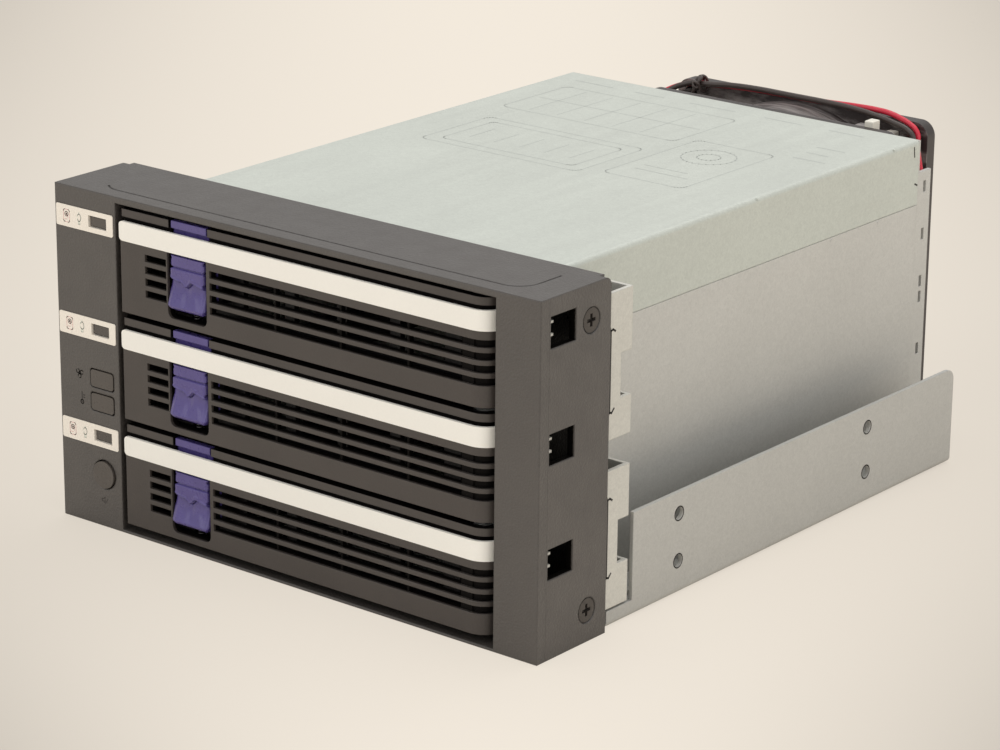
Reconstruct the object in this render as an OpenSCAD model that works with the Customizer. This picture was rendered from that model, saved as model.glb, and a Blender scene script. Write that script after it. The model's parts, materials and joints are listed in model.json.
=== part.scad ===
// Hard drive backplane cage: three removable 3.5 inch drive trays in the space of two 5.25 inch bays.
// X runs across the front, Y from the front to the back, Z up. The origin is at the centre of the base.

/* [Drive] */
// Width of a drive
drive_w = 101.6; // [100:0.2:103]
// Height of a drive
drive_h = 26.1; // [25.4:0.1:26.6]
// Length of a drive
drive_l = 147; // [140:0.5:150]

/* [Tray] */
// Play between a drive and the rails of its tray, both sides together
drive_play = 0.2; // [0.1:0.05:0.5]
// Thickness of a tray rail
rail_t = 3.05; // [2.8:0.05:3.6]
// Height of a tray rail
rail_h = 9.8; // [9.2:0.1:10]
// Height left between two drives
stack_gap = 0.9; // [0.8:0.1:1.4]
// Running gap between a tray and its guides
run_gap = 0.3; // [0.2:0.05:0.5]
// Gap between the front of a drive and the frame of its tray
drive_front_gap = 0.3; // [0.2:0.1:1]

/* [Lever] */
// Thickness of the lever plate
lever_t = 2.2; // [2:0.1:2.4]
// Radius of the round hinge end of a lever
hinge_r = 5.4; // [5.3:0.1:5.6]
// Radius of the hinge pin
pin_r = 1.5; // [1.3:0.1:1.6]
// Running clearance of the lever on its pin, on the radius
pin_play = 0.05; // [0.02:0.01:0.08]
// Gap between one lever and the next
lever_gap = 1.6; // [1.4:0.1:2]
// Height of the bright bar
bar_h = 4.8; // [4.4:0.1:5.2]
// How far the bright bar stands proud of the lever
bar_proud = 0.3; // [0.2:0.1:0.4]
// Height of one air slot
slot_h = 1.8; // [1.5:0.1:2]
// Distance from one air slot to the next
slot_pitch = 2.95; // [2.8:0.05:3]
// Rows of air slots
slot_rows = 4; // [3:1:4]

/* [Latch] */
// Width of a latch
latch_w = 11.3; // [10:0.1:12]
// Travel of a latch
latch_travel = 2; // [1.5:0.1:2]
// Thickness of the sliding plate of a latch
latch_t = 2.1; // [1.8:0.1:2.4]

/* [Bezel] */
// Depth of the bezel
bezel_d = 25; // [24:0.5:28]
// Thickness of the front and side walls of the bezel
bezel_t = 2; // [1.8:0.1:2.4]
// Thickness of the top wall of the bezel
lip_top = 1.6; // [1.4:0.1:2]
// Thickness of the bottom wall of the bezel
lip_bottom = 0.6; // [0.5:0.1:0.8]
// Width of the left column, which holds the indicators
column_l = 20; // [20:0.5:24]
// Width of the right column
column_r = 12.5; // [12:0.5:14]
// Radius of the mute button
button_r = 3.45; // [3:0.05:3.8]
// Travel of the mute button
button_travel = 0.8; // [0.5:0.1:1]

/* [Chassis] */
// Thickness of the steel sheet
sheet_t = 1; // [0.8:0.1:1.2]
// Thickness of the cover sheet
cover_t = 0.8; // [0.7:0.1:1]
// Thickness of the plastic guide strips
guide_t = 1; // [0.8:0.1:1.4]
// How far each mounting flange stands back from the end of the bezel
flange_back = 1.2; // [1.1:0.05:1.5]
// Height of the mounting flanges
flange_h = 25.6; // [24:0.2:28]
// Radius of a mounting hole
mount_r = 1.5; // [1.3:0.1:1.7]
// Distance between the mounting holes along the flange
mount_dy = 79.25; // [78:0.25:80]
// Distance between the mounting holes up the flange
mount_dz = 11.84; // [11:0.02:12]
// Height of the lower mounting holes
mount_z = 8.4; // [7:0.2:10]
// Distance of the front mounting holes behind the bezel face
mount_y = 54.5; // [50:0.5:58]

/* [Backplane] */
// Thickness of the circuit boards
board_t = 1.6; // [1.2:0.1:2]
// Depth of a drive connector
socket_d = 5; // [4.5:0.1:6]
// Room behind the backplane board
rear_room = 9.3; // [9.3:0.1:12]

/* [Fan] */
// Size of the square fan frame
fan_w = 80; // [79:0.5:80]
// Thickness of the fan
fan_d = 20; // [20:0.5:25]
// Distance of the screw holes of the fan from its sides
fan_inset = 4.25; // [4:0.05:4.5]
// Number of fan blades
blade_count = 9; // [7:1:11]
// Radius of a fan lead
lead_r = 0.75; // [0.6:0.05:0.8]

/* [Hidden] */
$fn = 48;

// One overrun serves every cut
over = 0.1;
// Number of trays, the top one is tray 1
trays = 3;

// Heights, from the base up
base_lift = 0.9;
drive_z = sheet_t + base_lift;
pitch = drive_h + stack_gap;
cover_gap = 0.4;
cover_under = drive_z + (trays - 1) * pitch + drive_h + cover_gap;
cage_top = cover_under + cover_t;
lever_step = 0.8;
lever_z = drive_z + lever_step;
lever_h = pitch - lever_gap;
open_gap_top = 1.1;
open_top = lever_z + (trays - 1) * pitch + lever_h + open_gap_top;
bezel_h = open_top + lip_top;

// Widths, from the drive outwards
tray_in = drive_w + drive_play;
tray_out = tray_in + 2 * rail_t;
cage_in = tray_out + 2 * (run_gap + guide_t);
cage_w = cage_in + 2 * sheet_t;
open_gap_left = 0.5;
open_gap_right = 3;
open_w = open_gap_left + cage_w + open_gap_right;
bezel_w = column_l + open_w + column_r;
bezel_x = bezel_w / 2;
open_x0 = column_l - bezel_x;
open_x1 = bezel_x - column_r;
cage_x0 = open_x0 + open_gap_left;
cage_x1 = cage_x0 + cage_w;
cage_cx = (cage_x0 + cage_x1) / 2;
flange_x = bezel_x - flange_back;

// Depths, from the face of the levers backwards
block_room = 4.2;
block_t = 1.6;
post_set = 0.9;
block_y = lever_t + block_room;
post_y = 2 * hinge_r - post_set;
drive_set = post_y + block_t + drive_front_gap;
tray_end = drive_set + drive_l;
socket_gap = 0.3;
board_y = tray_end + socket_gap + socket_d;
cage_rear = board_y + board_t + rear_room;
panel_rear = cage_rear + sheet_t;
fan_rear = panel_rear + fan_d;
lip_proud = 1;
front_y = (lip_proud - fan_rear) / 2;

// Places of the lever and its hinge
lever_side_gap = 1.7;
hinge_side_gap = 1.45;
lever_x0 = open_x0 + lever_side_gap;
pin_x = open_x1 - hinge_side_gap - hinge_r;
pin_y = hinge_r;
lug_t = 1.8;
lug_gap = 0.3;
lug_r = hinge_r - lever_t - lug_gap;
hub_r = lug_r + lug_gap;
skin_angle_1 = -5;

// Places of the latch
latch_set = 21.45;
latch_x = lever_x0 + latch_set;
latch_side = 0.6;

module at_front() translate([0, front_y, 0]) children();

// Z of the foot of the lever, and of the drive, in tray n
function lever_foot(n) = lever_z + (trays - n) * pitch;
function drive_foot(n) = drive_z + (trays - n) * pitch;

// A box from its two corners
module span(a, b) translate(a) cube(b - a);

// A rectangle with round corners, centred
module round_rect(w, h, r) {
    square([w - 2 * r, h], center = true);
    square([w, h - 2 * r], center = true);
    for (x = [-1, 1], y = [-1, 1])
        translate([x * (w / 2 - r), y * (h / 2 - r)]) circle(r);
}

// A plate with round corners that faces the front, from depth y0 to y1
module face_plate(cx, cz, w, h, r, y0, y1)
    translate([cx, y1, cz]) rotate([90, 0, 0]) linear_extrude(y1 - y0) round_rect(w, h, r);

// A round bar along Y, from depth y0 to y1
module bar_y(x, z, r, y0, y1) translate([x, y0, z]) rotate([-90, 0, 0]) cylinder(r = r, h = y1 - y0);

// A round bar along X, from x0 to x1
module bar_x(y, z, r, x0, x1) translate([x0, y, z]) rotate([0, 90, 0]) cylinder(r = r, h = x1 - x0);

// A cone along X, from radius r0 at x0 to r1 at x1
module cone_x(y, z, r0, r1, x0, x1)
    translate([x0, y, z]) rotate([0, 90, 0]) cylinder(r1 = r0, r2 = r1, h = x1 - x0);

// A flat sector of radius r between two angles under 180 degrees apart
module sector(r, a0, a1) intersection() {
    circle(r);
    reach = 2 * r;
    mid = (a0 + a1) / 2;
    polygon([[0, 0], [reach * cos(a0), reach * sin(a0)], [reach * cos(mid), reach * sin(mid)],
        [reach * cos(a1), reach * sin(a1)]]);
}

// A channel section w wide and h high, with its two lower corners round
module trough(w, h, r) {
    translate([-w / 2, r]) square([w, h - r]);
    translate([r - w / 2, 0]) square([w - 2 * r, r]);
    for (x = [-1, 1]) translate([x * (w / 2 - r), r]) circle(r);
}

// Extrudes a section drawn in X and Z along Y, from depth y0 to y1
module run_y(y0, y1) translate([0, y1, 0]) rotate([90, 0, 0]) linear_extrude(y1 - y0) children();

// Bezel

column_wall = 1.6;
column_wall_d = 9.8;
column_wall_deep = 24.5;
plate_w = 18.9;
plate_h = 5.4;
plate_r = 0.5;
plate_seat = 1;
plate_proud = 0.2;
plate_edge = 0.4;
plate_x = -bezel_x + plate_edge + plate_w / 2;
plate_over_foot = 20.5;
pipe_w = 5.4;
pipe_h = 2.3;
pipe_play = 0.1;
plate_play = 0.3;
pipe_sunk = 0.3;
indicator_share = 0.71;
indicator_x = indicator_share * column_l - bezel_x;
lens_w = 7.5;
lens_h = 4.3;
lens_r = 0.8;
lens_play = 0.3;
lens_flange = 0.8;
lens_side = 0.3;
lens_z = 31.75;
lens_pitch = 6;
button_z = 13.5;
button_play = 0.3;
button_flange = 0.75;
button_proud = 0.5;
stop_gap = 0.3;
board_front = 9;
led_d = 0.8;
switch_d = 1;
boss_r = 2.5;
boss_set = 7;
boss_x = boss_set - bezel_x;
boss_shares = [0.17, 0.52, 0.85];
small_screw_r = 1.2;
small_head_r = 2.2;
small_head_h = 1.4;
small_screw_deep = 4;
thread_play = 0.05;
window_w = 9.1;
window_h = 7.5;
window_y = 3.4;
window_over_foot = 20.1;
screw_y = 18;
screw_low = 7.7;
screw_drop = 8.5;
screw_r = 1.5;
screw_head_r = 2.9;
screw_head_h = 1.3;
screw_sunk = 0.1;
screw_rim = 0.25;
screw_rim_deep = 0.45;
screw_l = 6;
recess_r = 1.5;
recess_w = 0.85;
recess_deep = 1;
hook_w = 2;
hook_d = 0.8;
hook_h = 1.1;
hook_shares = [0.407, 0.617];
rear_r = 2;
line_y = 4.2;
line_w = 0.5;
line_depth = 0.3;
line_r = 6;
line_back = 18;
line_edge = 8.3;
line_set = 16.2;
line_angle = -140;
front_angle = -90;

function plate_z(n) = lever_foot(n) + plate_over_foot;
function window_z(n) = lever_foot(n) + window_over_foot;
screw_zs = [screw_low, bezel_h - screw_drop];

// The fine line engraved in the top, which turns back at both ends
module top_line() {
    x0 = line_set - bezel_x;
    x1 = bezel_x - line_edge;
    translate([0, 0, bezel_h - line_depth]) linear_extrude(line_depth + over) {
        translate([x0, line_y]) square([x1 - line_r - x0, line_w]);
        translate([x1 - line_w, line_y + line_r]) square([line_w, line_back - line_y - line_r]);
        for (c = [[x0, line_angle, front_angle], [x1 - line_r, front_angle, 0]])
            translate([c[0], line_y + line_r]) difference() {
                sector(line_r, c[1], c[2]);
                circle(line_r - line_w);
            }
    }
}

module front_bezel() at_front() color([0.32, 0.29, 0.27]) difference() {
    union() {
        difference() {
            span([-bezel_x, 0, 0], [bezel_x, bezel_d, bezel_h]);
            span([bezel_t - bezel_x, bezel_t, lip_bottom], [bezel_x - bezel_t, bezel_d + over, open_top]);
        }
        for (w = [[open_x0 - column_wall, column_wall_d], [open_x1, column_wall_deep]])
            span([w[0], bezel_t, lip_bottom], [w[0] + column_wall, w[1], open_top]);
        for (s = boss_shares) bar_y(boss_x, s * bezel_h, boss_r, bezel_t, board_front);
        for (s = hook_shares)
            span([s * bezel_w - bezel_x, bezel_d - hook_d, open_top],
                [s * bezel_w - bezel_x + hook_w, bezel_d + hook_d, cage_top + hook_h]);
    }
    span([open_x0, -over, lip_bottom], [open_x1, bezel_t + over, open_top]);
    for (n = [1:trays]) {
        face_plate(plate_x, plate_z(n), plate_w, plate_h, plate_r, -over, plate_seat);
        span([indicator_x - pipe_w / 2 - pipe_play, -over, plate_z(n) - pipe_h / 2 - pipe_play],
            [indicator_x + pipe_w / 2 + pipe_play, bezel_t + over, plate_z(n) + pipe_h / 2 + pipe_play]);
        span([bezel_x - bezel_t - over, window_y, window_z(n) - window_h / 2],
            [bezel_x + over, window_y + window_w, window_z(n) + window_h / 2]);
    }
    for (k = [0, 1])
        face_plate(indicator_x, lens_z + k * lens_pitch, lens_w + 2 * lens_play, lens_h + 2 * lens_play,
            lens_r, -over, bezel_t + over);
    bar_y(indicator_x, button_z, button_r + button_play, -over, bezel_t + over);
    for (s = boss_shares)
        bar_y(boss_x, s * bezel_h, small_screw_r + thread_play, bezel_t + stop_gap, board_front + over);
    for (z = screw_zs, m = [0, 1]) mirror([m, 0, 0]) {
        bar_x(screw_y, z, screw_r + thread_play, bezel_x - bezel_t - over, bezel_x + over);
        cone_x(screw_y, z, screw_r + thread_play, screw_head_r + thread_play,
            bezel_x - screw_head_h, bezel_x - screw_sunk);
        bar_x(screw_y, z, screw_head_r + screw_rim, bezel_x - screw_rim_deep, bezel_x + over);
    }
    top_line();
    for (m = [0, 1]) mirror([m, 0, 0]) difference() {
        span([bezel_x - bezel_t, bezel_d - rear_r, bezel_h - rear_r],
            [bezel_x + over, bezel_d + over, bezel_h + over]);
        bar_x(bezel_d - rear_r, bezel_h - rear_r, rear_r, bezel_x - bezel_t - over, bezel_x + 2 * over);
    }
}

module bezel_screws() at_front() color([0.2, 0.19, 0.19])
    for (z = screw_zs, m = [0, 1]) mirror([m, 0, 0]) difference() {
        face = bezel_x - screw_sunk;
        union() {
            bar_x(screw_y, z, screw_r - thread_play, bezel_x - screw_l, face);
            cone_x(screw_y, z, screw_r - thread_play, screw_head_r - thread_play,
                bezel_x - screw_head_h, face);
        }
        for (a = [0, 90]) translate([face, screw_y, z]) rotate([a, 0, 0])
            cube([2 * recess_deep, 2 * recess_r, recess_w], center = true);
    }

module status_plate(n) at_front() color([0.96, 0.94, 0.9]) difference() {
    face_plate(plate_x, plate_z(n), plate_w, plate_h, plate_r, -plate_proud, plate_seat);
    span([indicator_x - pipe_w / 2 - plate_play, -plate_proud - over, plate_z(n) - pipe_h / 2 - plate_play],
        [indicator_x + pipe_w / 2 + plate_play, plate_seat + over, plate_z(n) + pipe_h / 2 + plate_play]);
}

module light_pipe(n) at_front() color([0.25, 0.24, 0.25])
    span([indicator_x - pipe_w / 2, pipe_sunk, plate_z(n) - pipe_h / 2],
        [indicator_x + pipe_w / 2, board_front - led_d, plate_z(n) + pipe_h / 2]);

module alarm_lens(k) at_front() color([0.3, 0.28, 0.27]) {
    z = lens_z + k * lens_pitch;
    face_plate(indicator_x, z, lens_w, lens_h, lens_r, -plate_proud / 2, bezel_t + lens_flange);
    span([indicator_x - lens_w / 2 - lens_side, bezel_t, z - lens_h / 2 - lens_flange],
        [indicator_x + lens_w / 2 + lens_side, bezel_t + lens_flange, z + lens_h / 2 + lens_flange]);
}

stem_r = 1.5;
switch_top = board_front - switch_d;
stem_end = switch_top - over - button_travel;
module mute_button() at_front() color([0.22, 0.2, 0.2]) {
    stop_y = bezel_t + stop_gap;
    bar_y(indicator_x, button_z, button_r, -button_proud, stop_y);
    bar_y(indicator_x, button_z, button_r + button_flange, stop_y, stop_y + button_flange);
    bar_y(indicator_x, button_z, stem_r, stop_y, stem_end);
}

board_edge = 3.75;
board_side = 2.8;
led_w = 3;
switch_w = 6;
module indicator_board() at_front() color([0.12, 0.3, 0.16]) {
    difference() {
        span([board_edge - bezel_x, board_front, board_edge],
            [open_x0 - board_side, board_front + board_t, bezel_h - board_edge]);
        for (s = boss_shares)
            bar_y(boss_x, s * bezel_h, small_screw_r + thread_play, board_front - over,
                board_front + board_t + over);
    }
    for (n = [1:trays])
        span([indicator_x - led_w / 2, board_front - led_d, plate_z(n) - pipe_h / 2],
            [indicator_x + led_w / 2, board_front, plate_z(n) + pipe_h / 2]);
    for (k = [0, 1])
        span([indicator_x - led_w / 2, board_front - led_d, lens_z + k * lens_pitch - pipe_h / 2],
            [indicator_x + led_w / 2, board_front, lens_z + k * lens_pitch + pipe_h / 2]);
    span([indicator_x - switch_w / 2, switch_top, button_z - switch_w / 2],
        [indicator_x + switch_w / 2, board_front, button_z + switch_w / 2]);
}

module indicator_board_screws() at_front() color([0.75, 0.75, 0.76])
    for (s = boss_shares) {
        back = board_front + board_t;
        bar_y(boss_x, s * bezel_h, small_screw_r, board_front - small_screw_deep, back);
        bar_y(boss_x, s * bezel_h, small_head_r, back, back + small_head_h);
    }

// Chassis

floor_gap = 0.3;
floor_y0 = bezel_d + floor_gap;
tongue_set = 1.7;
tongue_y0 = floor_y0 + tongue_set;
tongue_h = 4.1;
flange_set = 11.4;
flange_y0 = floor_y0 + flange_set;
flange_short = 1.3;
bend_r = 1.5;
corner_r = 3;
wall_gap = 0.4;
wall_y0 = column_wall_d + wall_gap;
foot_w = 7;
ear_d = 9.7;
ear_back = bezel_d + ear_d;
foot_gap = 1.9;
foot_y0 = ear_back + foot_gap;
fold_gap = 0.1;
wall_top_gap = 0.2;
seam_over_drive = 10.3;
seam_z = drive_foot(1) + seam_over_drive;
fold = cover_t + fold_gap;
rivet_r = 1.5;
rivet_head_r = 2.4;
rivet_head_h = 0.7;
rivet_shares = [0.25, 0.55, 0.85];
tab_w = 6;
tab_h = 4;
tab_shares = [0.33, 0.733];
flange_y1 = cage_rear - flange_short;

function rivet_y(s) = foot_y0 + s * (cage_rear - foot_y0);

module mounting_holes(x0, x1)
    for (y = [0, mount_dy], z = [0, mount_dz]) bar_x(mount_y + y, mount_z + z, mount_r, x0, x1);

module base_plate() at_front() color([0.72, 0.71, 0.66]) difference() {
    run_y(floor_y0, cage_rear) difference() {
        trough(2 * flange_x, flange_h, bend_r);
        translate([0, sheet_t]) trough(2 * (flange_x - sheet_t), flange_h, bend_r - sheet_t);
    }
    for (m = [0, 1]) mirror([m, 0, 0]) {
        x0 = flange_x - bend_r;
        x1 = flange_x + over;
        span([x0, floor_y0 - over, -over], [x1, tongue_y0, flange_h + over]);
        span([x0, tongue_y0 - over, tongue_h], [x1, flange_y0, flange_h + over]);
        span([x0, flange_y1, -over], [x1, cage_rear + over, flange_h + over]);
        difference() {
            span([x0, flange_y1 - corner_r, flange_h - corner_r], [x1, flange_y1 + over, flange_h + over]);
            bar_x(flange_y1 - corner_r, flange_h - corner_r, corner_r, x0 - over, x1 + over);
        }
        mounting_holes(flange_x - sheet_t - over, x1);
    }
    for (s = rivet_shares, x = [cage_x0 - foot_w / 2, cage_x1 + foot_w / 2])
        translate([x, rivet_y(s), -over]) cylinder(r = rivet_r + thread_play, h = sheet_t + 2 * over);
}

// A side wall, with its outer face at x, an outward foot and a joggle under the cover's skirt.
module side_wall(x) {
    top = cover_under - wall_top_gap;
    low = seam_z - fold_gap;
    difference() {
        run_y(wall_y0, cage_rear) polygon([[x + foot_w, sheet_t], [x + foot_w, 2 * sheet_t], [x, 2 * sheet_t],
            [x, low], [x - fold, low], [x - fold, top], [x - fold - sheet_t, top],
            [x - fold - sheet_t, low - sheet_t], [x - sheet_t, low - sheet_t], [x - sheet_t, sheet_t]]);
        span([x, wall_y0 - over, 0], [x + foot_w + over, foot_y0, 2 * sheet_t + over]);
        for (s = rivet_shares)
            translate([x + foot_w / 2, rivet_y(s), 0])
                cylinder(r = rivet_r + thread_play, h = 2 * sheet_t + over);
    }
    for (s = tab_shares)
        span([x - sheet_t - tab_w, board_y + board_t, s * cage_top],
            [x - sheet_t / 2, board_y + board_t + sheet_t, s * cage_top + tab_h]);
}

module side_wall_right() at_front() color([0.7, 0.68, 0.65]) side_wall(cage_x1);
module side_wall_left() at_front() color([0.7, 0.68, 0.65]) mirror([1, 0, 0]) side_wall(-cage_x0);

module wall_rivets() at_front() color([0.75, 0.74, 0.7])
    for (s = rivet_shares, x = [cage_x0 - foot_w / 2, cage_x1 + foot_w / 2])
        translate([x, rivet_y(s), 0]) {
            cylinder(r = rivet_r, h = 2 * sheet_t);
            translate([0, 0, 2 * sheet_t]) cylinder(r = rivet_head_r, h = rivet_head_h);
        }

cover_r = 1.3;
module top_cover() at_front() color([0.8, 0.82, 0.78]) translate([cage_cx, 0, cage_top]) difference() {
    mirror([0, 0, 1]) run_y(bezel_d + over, cage_rear) difference() {
        trough(cage_w, cage_top - seam_z, cover_r);
        translate([0, cover_t]) trough(cage_w - 2 * cover_t, cage_top, cover_r - cover_t);
    }
    for (s = hook_shares) {
        x = s * bezel_w - bezel_x - cage_cx;
        span([x - fold_gap, bezel_d, -cover_t - over],
            [x + hook_w + fold_gap, bezel_d + hook_d + fold_gap, over]);
    }
}

// A side bracket, drawn for the right side: a foot on the wall at x, a web and two ears on the flange plane.
ear_joggle = 1.2;
joggle_shift = 0.5;
ear_gap = 0.4;
ear_low = 4.7;
ear_high_gap = 4.6;
lower_ear_top = 38.2;
upper_ear_foot = 45.6;
notch_depth = 4;
notch_h = 10.6;
upper_notch = 54.8;
lower_notch = 14.9;
relief_d = 1.8;
relief_h = 1;
relief_zs = [12, 31, 51.7, 71.1];
tooth_h = 0.6;
tooth_z = 1.5;
tooth_d = 1;
tooth_set = 2.6;
window_margin = 3;
window_reach = 1.4;
web_shift = 0.1;
module side_bracket(x) {
    ear_front = bezel_t + ear_gap;
    tab_out = bezel_x - bezel_t - web_shift;
    tab_in = tab_out - sheet_t;
    flange_in = flange_x - sheet_t;
    top = bezel_h - ear_high_gap;
    edge = flange_x + over;
    difference() {
        translate([0, 0, ear_low]) linear_extrude(top - ear_low)
            polygon([[x + web_shift, wall_y0 + foot_w], [x + sheet_t, wall_y0 + foot_w],
                [x + sheet_t, ear_back - sheet_t], [flange_in, ear_back - sheet_t],
                [flange_in, bezel_d + ear_joggle + joggle_shift], [tab_in, bezel_d + joggle_shift],
                [tab_in, ear_front], [tab_out, ear_front], [tab_out, bezel_d],
                [flange_x, bezel_d + ear_joggle], [flange_x, ear_back], [x + web_shift, ear_back]]);
        span([x + sheet_t, bezel_d + over, lower_ear_top], [edge, ear_back + over, upper_ear_foot]);
        for (z = [upper_notch, lower_notch])
            span([x + 2 * sheet_t, ear_back - notch_depth, z], [edge, ear_back + over, z + notch_h]);
        for (z = relief_zs)
            span([flange_in - sheet_t, bezel_d + over, z], [edge, bezel_d + relief_d, z + relief_h]);
        for (n = [1:trays]) {
            z = window_z(n);
            reach = window_h / 2 + window_reach;
            y0 = window_y + tooth_set;
            span([tab_in - over, y0 + tooth_d, z - reach],
                [tab_out + over, window_y + window_w + window_margin, z + reach]);
            for (k = [[-reach, -tooth_z - tooth_h / 2], [tooth_h / 2 - tooth_z, tooth_z - tooth_h / 2],
                [tooth_z + tooth_h / 2, reach]])
                span([tab_in - over, y0, z + k[0]], [tab_out + over, y0 + tooth_d + over, z + k[1]]);
        }
        for (z = screw_zs) bar_x(screw_y, z, screw_r, tab_in - over, tab_out + over);
    }
}

module side_bracket_right() at_front() color([0.78, 0.76, 0.7]) side_bracket(cage_x1);
module side_bracket_left() at_front() color([0.78, 0.76, 0.7]) mirror([1, 0, 0]) side_bracket(-cage_x0);

// Guide strips: a back plate on the wall and a ledge that the tray's groove runs on.
guide_set = 1.8;
guide_y0 = wall_y0 + guide_set;
guide_short = 5;
guide_h = 5;
ledge_low = 2;
ledge_h = 1.1;
ledge_d = 1.5;
module guide_strips(x)
    for (n = [1:trays]) {
        z = drive_foot(n);
        span([x - guide_t, guide_y0, z], [x, tray_end - guide_short, z + guide_h]);
        span([x - guide_t - ledge_d, guide_y0, z + ledge_low],
            [x - guide_t, tray_end - guide_short, z + ledge_low + ledge_h]);
    }

module guide_strips_right() at_front() color([0.15, 0.15, 0.16]) guide_strips(cage_x1 - sheet_t);
module guide_strips_left() at_front() color([0.15, 0.15, 0.16])
    mirror([1, 0, 0]) guide_strips(-cage_x0 - sheet_t);

// Trays

tray_x0 = cage_cx - tray_out / 2;
tray_x1 = cage_cx + tray_out / 2;
hinge_room = 8;
block_x1 = pin_x - hinge_room;
rail_drop = 0.3;
ledge_gap_low = 0.2;
vent_count = 4;
vent_w = 13;
vent_pitch = 16;
vent_low = 5;
vent_h = 15;
vent_set = 4.9;
head_r = 2.6;
head_h = 0.6;
screw_hole_r = 1.75;
drive_screw_z = 6.35;
drive_screw_y = 16.9;
drive_screw_dy = 101.6;
hook_reach = 1;
hatch_low = 7.2;
arm_w = 6;
arm_t = 1.4;
arm_low = 11.3;

module tray_carrier(n) at_front() color([0.16, 0.16, 0.17]) difference() {
    z0 = drive_foot(n) - rail_drop;
    foot = lever_foot(n);
    top = foot + lever_h;
    union() {
        span([tray_x0, block_y, z0], [tray_x0 + rail_t, tray_end, z0 + rail_h]);
        span([tray_x1 - rail_t, post_y, z0], [tray_x1, tray_end, z0 + rail_h]);
        span([tray_x0, block_y, z0], [block_x1, block_y + block_t, top]);
        span([block_x1 - block_t, block_y, z0], [block_x1, post_y + block_t, top]);
        span([block_x1 - block_t, post_y, z0], [tray_x1, post_y + block_t, top]);
        for (z = [foot, top - lug_t]) {
            translate([pin_x, pin_y, z]) cylinder(r = lug_r, h = lug_t);
            span([pin_x - lug_r, pin_y, z], [pin_x, post_y + over, z + lug_t]);
        }
    }
    for (x = [tray_x0, tray_x1])
        span([x - ledge_d, post_y + block_t, z0 + rail_drop + ledge_low - ledge_gap_low],
            [x + ledge_d, tray_end + over, z0 + rail_drop + ledge_low + ledge_h + run_gap]);
    for (k = [0:vent_count - 1]) {
        x1 = block_x1 - vent_set - k * vent_pitch;
        span([x1 - vent_w, block_y - over, z0 + vent_low],
            [x1, block_y + block_t + over, z0 + vent_low + vent_h]);
    }
    hatch_top = foot + arm_low + arm_t + stop_gap + hook_reach;
    span([latch_x - arm_w / 2 - latch_side, block_y - over, foot + hatch_low],
        [latch_x + arm_w / 2 + latch_side, block_y + block_t + over, hatch_top]);
    for (y = [0, drive_screw_dy]) bar_x(drive_set + drive_screw_y + y, drive_foot(n) + drive_screw_z,
        screw_hole_r, tray_x0 - over, tray_x1 + over);
    translate([pin_x, pin_y, foot - over]) cylinder(r = pin_r, h = lever_h + 2 * over);
    translate([pin_x, pin_y, top - head_h]) cylinder(r = head_r, h = head_h + over);
}

module hinge_pin(n) at_front() color([0.85, 0.85, 0.86]) translate([pin_x, pin_y, 0]) {
    foot = lever_foot(n);
    top = foot + lever_h;
    translate([0, 0, foot]) cylinder(r = pin_r, h = lever_h - head_h);
    translate([0, 0, top - head_h]) cylinder(r = head_r, h = head_h);
}

// Lever: the front plate, the round hinge end, the rims behind it and the slots through it
bar_foot = 17.8;
bar_seat = 0.5;
strip_set = 0.6;
strip_gap = 0.9;
strip_gap_deep = 1.6;
rim_t = 1.4;
rim_d = 2;
slot_top = 15.7;
slot_x_short = 7.9;
slot_w_short = 6.9;
slot_x_long = 28.7;
slot_set = 0.8;
slot_lap = 0.4;
rib_w = 0.6;
rib_shares = [0.263, 0.528, 0.794];
skin_deep = 1.2;
skin_angle_0 = -90;
lap_angle = -88;
slot_angle_1 = -25;
recess_foot = 1.6;
mouth_r = 1.6;
clip_t = 1.2;
clip_lip = 2.4;
back_side = 2;
back_y = lever_t + stop_gap;
back_foot = 7.3;
latch_top = 22.8;
shelf_foot = 0.2;
shelf_h = 1.2;
shelf_d = 2.8;
hub_gap = 0.3;

// The round hinge end, from radius r0 to r1
module hinge_skin(r0, r1, a0, a1) translate([pin_x, pin_y]) difference() {
    sector(r1, a0, a1);
    circle(r0);
}

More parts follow.
